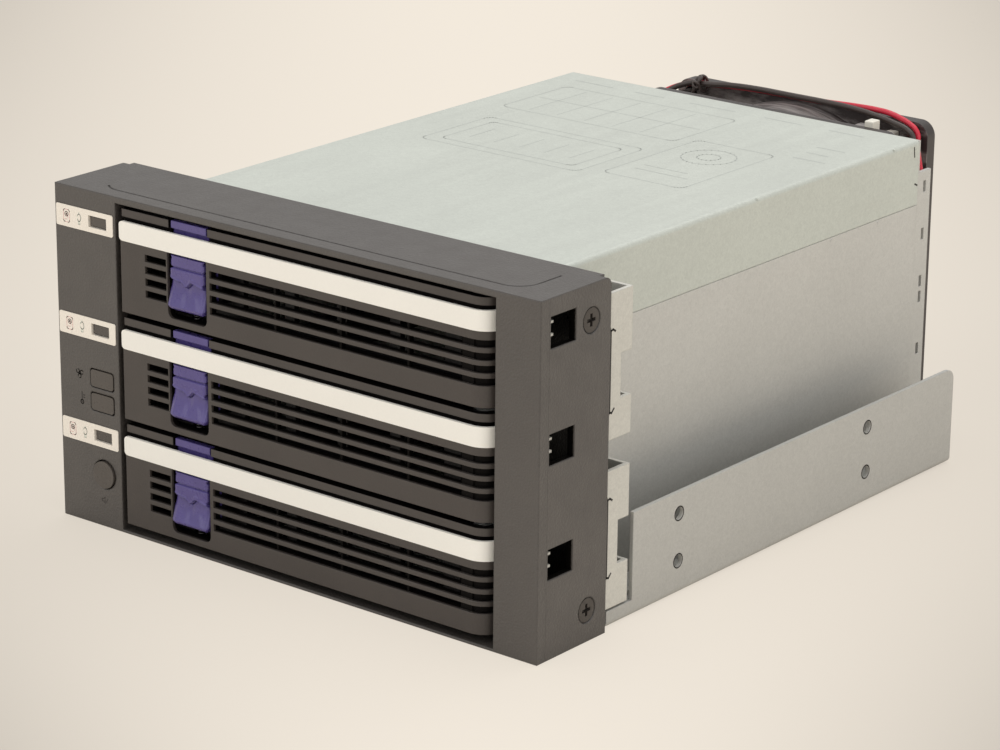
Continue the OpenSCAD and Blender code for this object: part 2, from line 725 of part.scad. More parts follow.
module tray_lever(n) at_front() color([0.3, 0.27, 0.26]) difference() {
    foot = lever_foot(n);
    top = foot + lever_h;
    clip_x = latch_w / 2 + back_side + stop_gap;
    clip_y = back_y + latch_t + stop_gap;
    clip_top = foot + latch_top - latch_travel;
    slot_l = pin_x - hub_r - lever_x0 - slot_x_long;
    ribs = [for (s = rib_shares) slot_x_long + s * slot_l];
    union() {
        translate([0, 0, foot]) linear_extrude(lever_h) {
            translate([lever_x0, 0]) square([pin_x - lever_x0, lever_t]);
            hinge_skin(hub_r, hinge_r, skin_angle_0, skin_angle_1);
        }
        translate([0, 0, foot + lug_t + hub_gap]) linear_extrude(lever_h - 2 * (lug_t + hub_gap)) {
            translate([pin_x, pin_y]) circle(hub_r);
            hinge_skin(pin_r, hinge_r, skin_angle_0, skin_angle_1);
        }
        for (z = [foot, top - rim_t])
            span([lever_x0, lever_t - over, z], [block_x1, lever_t + rim_d, z + rim_t]);
        span([lever_x0, lever_t - over, foot], [lever_x0 + rim_t, lever_t + rim_d, top]);
        for (m = [0, 1]) translate([latch_x, 0, 0]) mirror([m, 0, 0]) {
            span([clip_x, lever_t - over, foot + back_foot],
                [clip_x + clip_t, clip_y + clip_t / 2, clip_top]);
            span([clip_x + clip_t - clip_lip - stop_gap, clip_y, foot + back_foot],
                [clip_x + clip_t, clip_y + clip_t / 2, clip_top]);
        }
        span([latch_x - arm_w / 2, lever_t - over, foot + shelf_foot],
            [latch_x + arm_w / 2, lever_t + shelf_d, foot + shelf_foot + shelf_h]);
    }
    span([lever_x0 - over, -over, foot + bar_foot], [pin_x, bar_seat, foot + bar_foot + bar_h]);
    translate([0, 0, foot + bar_foot]) linear_extrude(bar_h)
        hinge_skin(hinge_r - bar_seat, hinge_r + over, skin_angle_0 - over, skin_angle_1 + over);
    span([lever_x0 - over, -over, foot + bar_foot + bar_h], [pin_x, strip_set, top + over]);
    translate([0, 0, foot + bar_foot + bar_h]) linear_extrude(lever_h)
        hinge_skin(hinge_r - strip_set, hinge_r + over, skin_angle_0 - over, skin_angle_1 + over);
    span([lever_x0 - over, -over, foot + bar_foot + bar_h - over],
        [pin_x + slot_lap, strip_gap_deep, foot + bar_foot + bar_h + strip_gap]);
    translate([0, 0, foot + bar_foot + bar_h - over]) linear_extrude(strip_gap + over)
        hinge_skin(hinge_r - strip_gap_deep, hinge_r + over, lap_angle, skin_angle_1 + over);
    for (r = [0:slot_rows - 1]) {
        z1 = foot + slot_top - r * slot_pitch;
        z0 = z1 - slot_h;
        xs = concat([slot_x_long], [for (x = ribs) x + rib_w / 2]);
        xe = concat([for (x = ribs) x - rib_w / 2], [slot_x_long + slot_l]);
        span([lever_x0 + slot_x_short, -over, z0],
            [lever_x0 + slot_x_short + slot_w_short, lever_t + over, z1]);
        span([lever_x0 + slot_x_long, -over, z0], [pin_x + slot_lap, slot_set, z1]);
        for (k = [0:len(xs) - 1]) span([lever_x0 + xs[k], 0, z0], [lever_x0 + xe[k], lever_t + over, z1]);
        translate([0, 0, z0]) linear_extrude(slot_h)
            hinge_skin(hinge_r - skin_deep, hinge_r + over, lap_angle, slot_angle_1);
    }
    translate([latch_x, 0, foot + recess_foot]) run_y(-over, lever_t)
        trough(latch_w + 2 * latch_side, lever_h, mouth_r);
    span([latch_x - latch_w / 2 - back_side - stop_gap, lever_t - over, top - rim_t - over],
        [latch_x + latch_w / 2 + back_side + stop_gap, lever_t + rim_d + over, top + over]);
    translate([pin_x, pin_y, foot - over]) cylinder(r = pin_r + pin_play, h = lever_h + 2 * over);
}

bar_r = 1;
bar_angle = -12;
bar_past = 0.2;
module lever_bar(n) at_front() color([0.9, 0.88, 0.83]) {
    z = lever_foot(n) + bar_foot;
    x0 = lever_x0 - bar_past;
    difference() {
        translate([0, 0, z]) linear_extrude(bar_h) {
            translate([x0, -bar_proud]) square([pin_x - x0, bar_proud + bar_seat]);
            hinge_skin(hinge_r - bar_seat, hinge_r + bar_proud, skin_angle_0, bar_angle);
        }
        for (c = [z + bar_r, z + bar_h - bar_r]) difference() {
            reach = bar_r + over;
            translate([x0 - over, -bar_proud - over, c == z + bar_r ? c - reach : c])
                cube([reach, bar_proud + bar_seat + 2 * over, reach]);
            bar_y(x0 + bar_r, c, bar_r, -bar_proud - 2 * over, bar_seat + 2 * over);
        }
    }
}

latch_foot = 3.8;
pad_top = 17.2;
latch_proud = 0.2;
thumb_h = 2.4;
thumb_round = 1.2;
pad_r = 1.5;
latch_gap_deep = 1.8;
stem_y = bar_seat + stop_gap;
groove_zs = [11.1, 14.1];
groove_w = 0.5;
groove_in = 0.4;
module lever_latch(n) at_front() color([0.36, 0.31, 0.6]) translate([latch_x, 0, 0]) {
    foot = lever_foot(n);
    half = latch_w / 2;
    hatch_y = block_y + block_t;
    difference() {
        union() {
            span([-half, -latch_proud, foot + latch_foot], [half, back_y, foot + pad_top]);
            span([-half, stem_y, foot + pad_top - over], [half, back_y, foot + lever_h]);
            span([-half - back_side, back_y, foot + back_foot],
                [half + back_side, back_y + latch_t, foot + latch_top]);
            span([-half, -lip_proud, foot + latch_foot + thumb_round],
                [half, -latch_proud + over, foot + latch_foot + thumb_h]);
            bar_x(-lip_proud + thumb_round, foot + latch_foot + thumb_round, thumb_round, -half, half);
            span([-arm_w / 2, back_y + latch_t - over, foot + arm_low],
                [arm_w / 2, hatch_y + stop_gap + hook_reach, foot + arm_low + arm_t]);
            span([-arm_w / 2, hatch_y + stop_gap, foot + arm_low],
                [arm_w / 2, hatch_y + stop_gap + hook_reach, foot + arm_low + arm_t + hook_reach]);
        }
        for (z = groove_zs) span([-half - over, -latch_proud - over, foot + z],
            [half + over, groove_in - latch_proud, foot + z + groove_w]);
        span([-half - over, stem_y - over, foot + bar_foot + bar_h],
            [half + over, latch_gap_deep, foot + bar_foot + bar_h + strip_gap]);
        for (m = [0, 1]) mirror([m, 0, 0]) difference() {
            span([half - pad_r, -lip_proud - over, foot + latch_foot - over],
                [half + over, back_y + over, foot + latch_foot + pad_r]);
            bar_y(half - pad_r, foot + latch_foot + pad_r, pad_r, -lip_proud - 2 * over, back_y + 2 * over);
        }
    }
}

coil_r = 1.2;
coil_hole = 0.8;
coil_gap = 0.1;
coil_y = back_y + coil_r + coil_gap;
module latch_spring(n) at_front() color([0.7, 0.7, 0.72])
    translate([latch_x, coil_y, lever_foot(n) + shelf_foot + shelf_h]) difference() {
        coil_h = back_foot - shelf_foot - shelf_h;
        cylinder(r = coil_r, h = coil_h);
        translate([0, 0, -over]) cylinder(r = coil_hole, h = coil_h + 2 * over);
    }

// Backplane

board_edge_gap = 0.2;
board_low = 1.2;
board_x0 = cage_x0 + sheet_t + fold + board_edge_gap;
board_x1 = cage_x1 - sheet_t - fold - board_edge_gap;
board_back = board_y + board_t;
air_count = 5;
air_side = 2.9;
air_web = 3.5;
air_pitch = (board_x1 - board_x0 - 2 * air_side) / air_count;
air_w = air_pitch - air_web;
air_h = 12;
air_low = 10.5;
socket_w = 42;
socket_h = 5;
socket_low = 2;
socket_off = 20.7;
blade_gap = 2.4;
signal_w = 10.4;
supply_w = 20.6;
slot_deep = 3.5;
slot_between = 1.8;
port_w = 14.5;
port_h = 5.2;
port_d = 9.3;
port_wall = 1.4;
port_tongue = 1.1;
port_side = 2.4;
port_set = 11.2;
port_x = cage_x0 + port_set;
port_z = 36;
port_pitch = 11;
supply_h = 21.4;
supply_t = 8.4;
supply_wall = 1;
supply_z = 4.6;
supply_pitch = 9.6;
supply_floor = 2;
pins = 4;
pin_pitch = 5.08;
contact_r = 1.05;
header_set = 19.2;
header_x = cage_x0 + header_set;
header_z = 74;
header_w = 6.2;
header_h = 5.6;
header_d = 3;
contact_pitch = 2.54;
fine_contact_r = 0.32;
plug_play = 0.06;
plug_d = 5.6;
plug_gap = 0.2;
contact_end = 1;

module backplane_board() at_front() color([0.1, 0.32, 0.18]) difference() {
    span([board_x0, board_y, sheet_t + board_low], [board_x1, board_back, cover_under - board_low]);
    for (n = [1:trays], k = [0:air_count - 1]) {
        x = cage_cx + (k - (air_count - 1) / 2) * air_pitch;
        span([x - air_w / 2, board_y - over, drive_foot(n) + air_low],
            [x + air_w / 2, board_back + over, drive_foot(n) + air_low + air_h]);
    }
}

module drive_socket(n) at_front() color([0.1, 0.1, 0.11]) difference() {
    x = cage_cx - socket_off;
    z = drive_foot(n) + socket_low;
    both = signal_w + slot_between + supply_w;
    span([x - socket_w / 2, board_y - socket_d, z], [x + socket_w / 2, board_y, z + socket_h]);
    span([x - both / 2, board_y - socket_d - over, z + (socket_h - blade_gap) / 2],
        [x - both / 2 + signal_w, board_y - socket_d + slot_deep, z + (socket_h + blade_gap) / 2]);
    span([x + both / 2 - supply_w, board_y - socket_d - over, z + (socket_h - blade_gap) / 2],
        [x + both / 2, board_y - socket_d + slot_deep, z + (socket_h + blade_gap) / 2]);
}

module data_port(n) at_front() color([0.12, 0.12, 0.13]) {
    z = port_z + (trays - n) * port_pitch;
    difference() {
        span([port_x - port_w / 2, board_back, z - port_h / 2],
            [port_x + port_w / 2, board_back + port_d, z + port_h / 2]);
        span([port_x - port_w / 2 + port_wall, board_back + port_wall, z - port_h / 2 + port_wall],
            [port_x + port_w / 2 - port_wall, board_back + port_d + over, z + port_h / 2 - port_wall / 2]);
    }
    span([port_x - port_w / 2 + port_side, board_back + port_wall, z - port_tongue / 2],
        [port_x + port_w / 2 - port_side, board_back + port_d - port_wall / 2, z + port_tongue / 2]);
}

module power_ports() at_front() for (k = [-1, 1]) {
    x = port_x + k * supply_pitch / 2;
    color([0.93, 0.92, 0.88]) difference() {
        span([x - supply_t / 2, board_back, supply_z],
            [x + supply_t / 2, board_back + port_d, supply_z + supply_h]);
        span([x - supply_t / 2 + supply_wall, board_back + supply_floor, supply_z + supply_wall],
            [x + supply_t / 2 - supply_wall, board_back + port_d + over, supply_z + supply_h - supply_wall]);
    }
    color([0.8, 0.7, 0.4]) for (p = [0:pins - 1])
        bar_y(x, supply_z + supply_h / 2 + (p - (pins - 1) / 2) * pin_pitch, contact_r,
            board_back + supply_floor, board_back + port_d - contact_end);
}

module fan_header() at_front() color([0.93, 0.92, 0.88]) {
    span([header_x - header_w / 2, board_back, header_z - header_h / 2],
        [header_x + header_w / 2, board_back + header_d, header_z + header_h / 2]);
    for (k = [-1, 1]) bar_y(header_x + k * contact_pitch / 2, header_z, fine_contact_r,
        board_back + header_d, board_back + header_d + plug_d - contact_end);
}

plug_y = board_back + header_d + plug_gap;
plug_rear = plug_y + plug_d;
module fan_plug() at_front() color([0.9, 0.9, 0.88]) difference() {
    span([header_x - header_w / 2, plug_y, header_z - header_h / 2],
        [header_x + header_w / 2, plug_rear, header_z + header_h / 2]);
    for (k = [-1, 1]) bar_y(header_x + k * contact_pitch / 2, header_z, fine_contact_r + plug_play,
        plug_y - over, plug_rear - contact_end / 2);
}

// Rear panel and fan

fan_side = 8.5;
fan_right = cage_x1 - fan_side;
fan_cx = fan_right - fan_w / 2;
fan_pitch = fan_w - 2 * fan_inset;
fan_foot = 2.5;
fan_cz = fan_foot + fan_w / 2;
duct_t = 2;
duct_edge = 0.6;
fan_bore = fan_w / 2 - duct_t;
duct_r = fan_w / 2 - duct_edge;
fan_corner = 4;
rim_h = 3.6;
fan_screw_r = 1.7;
fan_hole_r = 2.15;
fan_head_r = 3.2;
fan_head_h = 1.8;
fan_recess = 0.9;
panel_gap = 0.3;
panel_fold = 5.5;
fold_foot = 4;
fold_top_gap = 8.8;
panel_tab_d = 7;
panel_tab_h = 4.5;
panel_tab_shares = [0.33, 0.78];
port_cut = 1;
lead_cut_w = 8.4;
lead_cut_h = 9;
slit_h = 3;
slit_w = 1.2;
slit_shares = [0.1, 0.3, 0.5, 0.56, 0.74, 0.92];

module rear_panel() at_front() color([0.7, 0.69, 0.67]) difference() {
    x0 = cage_x0 + panel_gap;
    x1 = cage_x1 - panel_gap;
    fold_top = cage_top - fold_top_gap;
    union() {
        span([x0, cage_rear, sheet_t + panel_gap], [x1, panel_rear, cover_under - panel_gap + cover_t]);
        span([x1 - sheet_t, cage_rear, fold_foot], [x1, panel_rear + panel_fold, fold_top]);
        for (s = panel_tab_shares, x = [board_x0, board_x1 - sheet_t])
            span([x, cage_rear - panel_tab_d, s * cage_top],
                [x + sheet_t, cage_rear + over, s * cage_top + panel_tab_h]);
    }
    bar_y(fan_cx, fan_cz, fan_bore, cage_rear - over, panel_rear + over);
    for (x = [-1, 1], z = [-1, 1])
        bar_y(fan_cx + x * fan_pitch / 2, fan_cz + z * fan_pitch / 2, fan_screw_r + thread_play,
            cage_rear - over, panel_rear + over);
    for (n = [0:trays - 1]) {
        z = port_z + n * port_pitch;
        span([port_x - port_w / 2 - port_cut, cage_rear - over, z - port_h / 2 - port_cut],
            [port_x + port_w / 2 + port_cut, panel_rear + over, z + port_h / 2 + port_cut]);
    }
    supply_reach = (supply_pitch + supply_t) / 2 + port_cut;
    span([port_x - supply_reach, cage_rear - over, supply_z - port_cut],
        [port_x + supply_reach, panel_rear + over, supply_z + supply_h + port_cut]);
    span([header_x - lead_cut_w / 2, cage_rear - over, header_z - lead_cut_h / 2],
        [header_x + lead_cut_w / 2, panel_rear + over, header_z + lead_cut_h / 2]);
    for (s = slit_shares) {
        z = fold_foot + s * (fold_top - fold_foot);
        span([x1 - sheet_t - over, panel_rear + (panel_fold - slit_w) / 2, z],
            [x1 + over, panel_rear + (panel_fold + slit_w) / 2, z + slit_h]);
    }
}

strut_t = 2.6;
strut_w = 3.4;
strut_count = 4;
strut_root = 1;
stator_gap = 1;
hub_cup_r = 17.5;
hub_back = 4.6;
tube_r = 3.2;
shaft_r = 1.5;
stator_r = 14;
rotor_front = 2.2;
rotor_wall = 1.5;
rotor_h = 12;
rotor_r = 17.2;
shaft_d = 13;
blade_gap_r = 0.8;
blade_t = 1.4;
blade_chord = 17;
blade_angle = 40;
blade_front = 2.4;
blade_d = 11.6;
boss_z = 18;
boss_h = 5;
boss_out = 1.6;
boss_y = 8.5;
boss_d = 6;

// The face and the depth of the fan's own parts, from its front face
function fan_y(d) = panel_rear + d;

module fan_frame() at_front() color([0.13, 0.13, 0.14]) {
    stator_front = rotor_front + 2 * rotor_wall + shaft_r;
    difference() {
        union() {
            for (d = [0, fan_d - rim_h])
                face_plate(fan_cx, fan_cz, fan_w, fan_w, fan_corner, fan_y(d), fan_y(d + rim_h));
            bar_y(fan_cx, fan_cz, duct_r, fan_y(0), fan_y(fan_d));
            translate([fan_cx, 0, fan_cz + boss_z])
                span([sqrt(fan_bore * fan_bore - boss_z * boss_z), fan_y(boss_y), -boss_h / 2],
                    [duct_r - boss_out, fan_y(boss_y + boss_d), boss_h / 2]);
        }
        bar_y(fan_cx, fan_cz, fan_bore, fan_y(-over), fan_y(fan_d + over));
        for (x = [-1, 1], z = [-1, 1]) {
            sx = fan_cx + x * fan_pitch / 2;
            sz = fan_cz + z * fan_pitch / 2;
            bar_y(sx, sz, fan_hole_r, fan_y(-over), fan_y(fan_d + over));
            translate([sx, fan_y(fan_d - fan_head_h), sz]) rotate([-90, 0, 0])
                cylinder(r1 = fan_screw_r + thread_play, r2 = fan_head_r + thread_play, h = fan_head_h);
        }
    }
    difference() {
        union() {
            bar_y(fan_cx, fan_cz, hub_cup_r, fan_y(fan_d - hub_back), fan_y(fan_d - over));
            for (k = [0:strut_count - 1])
                translate([fan_cx, 0, fan_cz]) rotate([0, 45 + k * 360 / strut_count, 0])
                    span([hub_cup_r - strut_root, fan_y(fan_d - strut_t), -strut_w / 2],
                        [fan_bore + duct_t / 2, fan_y(fan_d - over), strut_w / 2]);
            bar_y(fan_cx, fan_cz, tube_r, fan_y(stator_front), fan_y(fan_d - hub_back + over));
            bar_y(fan_cx, fan_cz, stator_r, fan_y(stator_front + shaft_r),
                fan_y(fan_d - hub_back - stator_gap));
        }
        bar_y(fan_cx, fan_cz, shaft_r + pin_play, fan_y(0), fan_y(rotor_front + shaft_d + rotor_wall));
    }
}

module fan_rotor() at_front() color([0.1, 0.1, 0.11]) {
    difference() {
        bar_y(fan_cx, fan_cz, rotor_r, fan_y(rotor_front), fan_y(rotor_front + rotor_h));
        bar_y(fan_cx, fan_cz, rotor_r - rotor_wall, fan_y(rotor_front + rotor_wall),
            fan_y(rotor_front + rotor_h + over));
    }
    bar_y(fan_cx, fan_cz, shaft_r, fan_y(rotor_front + rotor_wall - over), fan_y(rotor_front + shaft_d));
    intersection() {
        difference() {
            bar_y(fan_cx, fan_cz, fan_bore - blade_gap_r, fan_y(blade_front), fan_y(blade_front + blade_d));
            bar_y(fan_cx, fan_cz, rotor_r - rotor_wall / 2, fan_y(0), fan_y(fan_d));
        }
        union() for (k = [0:blade_count - 1])
            translate([fan_cx, fan_y(blade_front + blade_d / 2), fan_cz])
                rotate([0, k * 360 / blade_count, 0]) rotate([blade_angle, 0, 0])
                    span([rotor_r - rotor_wall, -blade_chord / 2, -blade_t / 2],
                        [fan_bore, blade_chord / 2, blade_t / 2]);
    }
}

module fan_screws() at_front() color([0.2, 0.2, 0.21]) for (x = [-1, 1], z = [-1, 1]) {
    sx = fan_cx + x * fan_pitch / 2;
    sz = fan_cz + z * fan_pitch / 2;
    difference() {
        union() {
            bar_y(sx, sz, fan_screw_r, cage_rear - panel_gap, fan_y(fan_d - fan_head_h));
            translate([sx, fan_y(fan_d - fan_head_h), sz]) rotate([-90, 0, 0])
                cylinder(r1 = fan_screw_r, r2 = fan_head_r, h = fan_head_h);
        }
        for (a = [0, 90]) translate([sx, fan_y(fan_d), sz]) rotate([0, a, 0])
            cube([fan_head_r, 2 * fan_recess, fan_recess], center = true);
    }
}

// Routes of the fan leads as points chosen by hand: near the boss on the frame, then over the fan's top, both
// from its right side and front face, then to the plug, from the middle of the header and the board's back
red_boss = [[-2.15, 11.5, 0], [-0.85, 11.5, 0], [1.05, 11.6, 1.8], [1.65, 11.9, 5.5]];
red_top = [[0.65, 12.5, -11.5], [-0.65, 13.2, -7.5], [-1.55, 13.9, -5], [-1.75, 14.5, -3.2],
    [-2.95, 15, -1.6], [-4.65, 15.3, -0.7], [-7.45, 15.5, 0.3], [-11.25, 15.6, 1.2], [-14.85, 15.6, 1.45],
    [-20.75, 15.6, 1.4], [-32.25, 15.6, 0.9], [-43.25, 15.6, 0.8], [-54.25, 15.5, 0.7],
    [-63.25, 15.2, 0.3], [-69.25, 14.95, -0.2], [-72.25, 14.95, -0.3]];
red_plug = [[10.15, 24.7, 7.8], [7.15, 23.4, 6.9], [4.15, 21.3, 5.3], [1.05, 18.3, 3], [-0.65, 14.7, 1.2],
    [-1.27, 11.3, 0]];
black_boss = [[-2.15, 9.3, 0], [-0.85, 9.3, 0], [1.05, 9.4, 1.8], [1.65, 9.7, 5.5]];
black_top = [[0.65, 10.3, -11.5], [-0.65, 11, -7.5], [-1.55, 11.6, -5], [-1.75, 12.1, -3],
    [-3.45, 12.4, -1.55], [-8.05, 12.8, -0.35], [-15.05, 13.2, 0.75], [-22.45, 13.6, 1.3],
    [-30.25, 13.8, 1.45], [-41.25, 13.85, 1.45], [-52.25, 13.85, 1.45], [-60.85, 13.6, 1.1],
    [-66.25, 13.35, 0.5], [-69.25, 13.25, 0.22], [-72.25, 13.2, 0.1]];
black_plug = [[10.15, 23, 8], [7.65, 21.7, 7], [5.35, 20, 5.3], [3.15, 17.2, 3.3], [1.75, 14.1, 1.2],
    [1.27, 11.1, 0]];
red_pin = -1;
black_pin = 1;
function placed(points, place) = [for (p = points) p + place];
function lead_route(boss, top, plug, pin) = concat(
    placed(boss, [fan_right, panel_rear, fan_cz + boss_z]),
    placed(top, [fan_right, panel_rear, fan_foot + fan_w]),
    placed(plug, [header_x, board_back, header_z]),
    [[header_x + pin * contact_pitch / 2, plug_rear, header_z]]);
lead_sides = 8;

function unit(v) = v / norm(v);
function heading(p, i) = unit(p[min(i + 1, len(p) - 1)] - p[max(i - 1, 0)]);
function side_of(d) = unit(cross(d, abs(d[2]) > abs(d[0]) + abs(d[1]) ? [0, 1, 0] : [0, 0, 1]));
function carried(p, i) = i == 0 ? side_of(heading(p, 0))
    : let (s = carried(p, i - 1), d = heading(p, i)) unit(s - (s * d) * d);
function ring(p, i, r) = let (d = heading(p, i), s = carried(p, i), u = cross(d, s))
    [for (k = [0:lead_sides - 1]) p[i] + r * (cos(360 * k / lead_sides) * s + sin(360 * k / lead_sides) * u)];

// A tube of radius r along the points p, closed at both ends
module tube(p, r) {
    n = len(p);
    m = lead_sides;
    polyhedron([for (i = [0:n - 1]) each ring(p, i, r)], concat(
        [[for (k = [0:m - 1]) k]], [[for (k = [m - 1:-1:0]) (n - 1) * m + k]],
        [for (i = [0:n - 2], k = [0:m - 1]) [i * m + k, (i + 1) * m + k, (i + 1) * m + (k + 1) % m]],
        [for (i = [0:n - 2], k = [0:m - 1]) [i * m + k, (i + 1) * m + (k + 1) % m, i * m + (k + 1) % m]]));
}

module lead_red() at_front() color([0.75, 0.12, 0.18])
    tube(lead_route(red_boss, red_top, red_plug, red_pin), lead_r);
module lead_black() at_front() color([0.08, 0.08, 0.09])
    tube(lead_route(black_boss, black_top, black_plug, black_pin), lead_r);

tie_set = 70.75;
tie_w = 2.4;
tie_in = 1.8;
tie_t = 0.5;
tie_d = 14.1;
tie_drop = 0.05;
tie_head = 2.2;
module lead_tie() at_front() color([0.12, 0.11, 0.11])
    translate([fan_right - tie_set, fan_y(tie_d), fan_foot + fan_w - tie_drop]) {
    rotate([0, 90, 0]) difference() {
        cylinder(r = tie_in + tie_t, h = tie_w, center = true);
        cylinder(r = tie_in, h = tie_w + over, center = true);
    }
    span([-tie_w / 2, -tie_in - tie_t - tie_head / 2, -tie_head / 2],
        [tie_w / 2, -tie_in - tie_t / 2, tie_head / 2]);
}

clip_inset = 10;
clip_x = fan_right - clip_inset;
clip_w = 2.6;
clip_up = 1.6;
clip_down = 6.6;
clip_d = 3.4;
clip_arm = 5;
clip_arm_t = 1.8;
module lead_clip() at_front() color([0.95, 0.94, 0.9]) translate([clip_x, fan_y(rim_h), fan_foot + fan_w]) {
    span([-clip_w / 2, 0, -clip_down], [clip_w / 2, clip_d, clip_up]);
    span([-clip_w / 2, 0, -clip_arm], [clip_w / 2, fan_d - 2 * rim_h, clip_arm_t - clip_arm]);
}

front_bezel();
side_bracket_right();
side_bracket_left();
bezel_screws();
status_plate(1);  // status_plate_1
status_plate(2);  // status_plate_2
status_plate(3);  // status_plate_3
light_pipe(1);  // light_pipe_1
light_pipe(2);  // light_pipe_2
light_pipe(3);  // light_pipe_3
alarm_lens(1);  // fan_alarm_lens
alarm_lens(0);  // heat_alarm_lens
mute_button();
indicator_board();
indicator_board_screws();
base_plate();
side_wall_right();
side_wall_left();
top_cover();
wall_rivets();
guide_strips_right();
guide_strips_left();
tray_carrier(1);  // tray_carrier_1
tray_carrier(2);  // tray_carrier_2
tray_carrier(3);  // tray_carrier_3
tray_lever(1);  // tray_lever_1
tray_lever(2);  // tray_lever_2
tray_lever(3);  // tray_lever_3
lever_bar(1);  // lever_bar_1
lever_bar(2);  // lever_bar_2
lever_bar(3);  // lever_bar_3
lever_latch(1);  // lever_latch_1
lever_latch(2);  // lever_latch_2
lever_latch(3);  // lever_latch_3
latch_spring(1);  // latch_spring_1
latch_spring(2);  // latch_spring_2
latch_spring(3);  // latch_spring_3
hinge_pin(1);  // hinge_pin_1
hinge_pin(2);  // hinge_pin_2
hinge_pin(3);  // hinge_pin_3
backplane_board();
drive_socket(1);  // drive_socket_1
drive_socket(2);  // drive_socket_2
drive_socket(3);  // drive_socket_3
data_port(1);  // data_port_1
data_port(2);  // data_port_2
data_port(3);  // data_port_3
power_ports();
rear_panel();
fan_frame();
fan_rotor();
fan_screws();
fan_header();
fan_plug();
lead_red();
lead_black();
lead_tie();
lead_clip();
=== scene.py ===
import json
import math

import bmesh
import bpy
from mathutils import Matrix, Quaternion, Vector


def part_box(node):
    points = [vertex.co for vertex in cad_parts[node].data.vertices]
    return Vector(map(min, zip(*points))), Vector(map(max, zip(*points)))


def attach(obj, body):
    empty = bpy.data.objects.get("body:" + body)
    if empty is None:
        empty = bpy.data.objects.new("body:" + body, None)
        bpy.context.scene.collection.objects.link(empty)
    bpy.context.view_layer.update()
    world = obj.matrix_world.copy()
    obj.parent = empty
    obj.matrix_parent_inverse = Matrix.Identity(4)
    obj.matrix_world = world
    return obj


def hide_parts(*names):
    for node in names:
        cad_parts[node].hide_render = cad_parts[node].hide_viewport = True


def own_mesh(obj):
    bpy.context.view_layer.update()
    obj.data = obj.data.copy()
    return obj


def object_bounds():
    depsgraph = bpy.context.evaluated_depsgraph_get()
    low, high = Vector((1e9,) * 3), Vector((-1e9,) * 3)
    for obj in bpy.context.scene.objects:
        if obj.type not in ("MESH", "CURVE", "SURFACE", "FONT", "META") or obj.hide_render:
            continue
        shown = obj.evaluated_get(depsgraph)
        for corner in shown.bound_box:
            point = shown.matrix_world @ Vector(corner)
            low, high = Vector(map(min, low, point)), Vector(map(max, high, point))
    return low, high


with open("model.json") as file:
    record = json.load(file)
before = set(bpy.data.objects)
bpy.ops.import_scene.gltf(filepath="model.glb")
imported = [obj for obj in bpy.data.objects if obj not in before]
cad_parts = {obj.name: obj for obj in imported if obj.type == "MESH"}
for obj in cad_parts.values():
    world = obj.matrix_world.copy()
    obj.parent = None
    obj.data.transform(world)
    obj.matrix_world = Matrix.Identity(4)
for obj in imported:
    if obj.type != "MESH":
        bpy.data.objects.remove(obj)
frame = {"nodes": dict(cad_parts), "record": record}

cad_low, cad_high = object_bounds()
nodes = frame["nodes"]
body_of_node = {n: body for body, members in frame["record"]["behaviour"]["bodies"].items() for n in members}
slot_of_node = {s["node"]: s["material_slot"] for s in frame["record"]["subparts"]}
TRAYS = (1, 2, 3)
MM = 0.001
FACE_Y = -97.5
RIGHT, BACK, UP = (1, 0, 0), (0, 1, 0), (0, 0, 1)


def at(x, y, z):
    """A place in the scene from millimetres."""
    return Vector((x, y + FACE_Y, z)) * MM


# Camera: where it stands, which way it looks and its lens, fitted to the photograph

CAMERA_PLACE = (0.52159, -0.66969, 0.31098)
CAMERA_AZIMUTH = 38.709
CAMERA_ELEVATION = 18.490
CAMERA_ROLL = -0.538
CAMERA_LENS = 127.5
SENSOR_WIDTH, SENSOR_HEIGHT = 36, 27
CLIP_NEAR, CLIP_FAR = 0.05, 60


def toward(azimuth, elevation):
    """The direction to a camera or lamp. Azimuths go from 0 in front to 90 on the right."""
    a, e = math.radians(azimuth), math.radians(elevation)
    return Vector((math.sin(a) * math.cos(e), -math.cos(a) * math.cos(e), math.sin(e)))


VIEW_AHEAD = -toward(CAMERA_AZIMUTH, CAMERA_ELEVATION)
VIEW_RIGHT = toward(CAMERA_AZIMUTH + 90, 0)
VIEW_UP = VIEW_RIGHT.cross(VIEW_AHEAD)


def make_camera():
    camera = bpy.data.objects.new("camera", bpy.data.cameras.new("camera"))
    bpy.context.scene.collection.objects.link(camera)
    camera.data.lens = CAMERA_LENS
    camera.data.clip_start, camera.data.clip_end = CLIP_NEAR, CLIP_FAR
    camera.rotation_mode = "QUATERNION"
    camera.rotation_quaternion = (Quaternion(VIEW_AHEAD, math.radians(CAMERA_ROLL))
                                  @ VIEW_AHEAD.to_track_quat("-Z", "Y"))
    camera.location = CAMERA_PLACE
    bpy.context.scene.camera = camera


# Materials

NOISE_LOW, NOISE_HIGH = 0.3, 0.7               # most of a noise lies between these
COLOR_ONE, COLOR_TWO, COLOR_OUT = 6, 7, 2      # the colour sockets of a mix node
ROUNDING_SAMPLES = 6


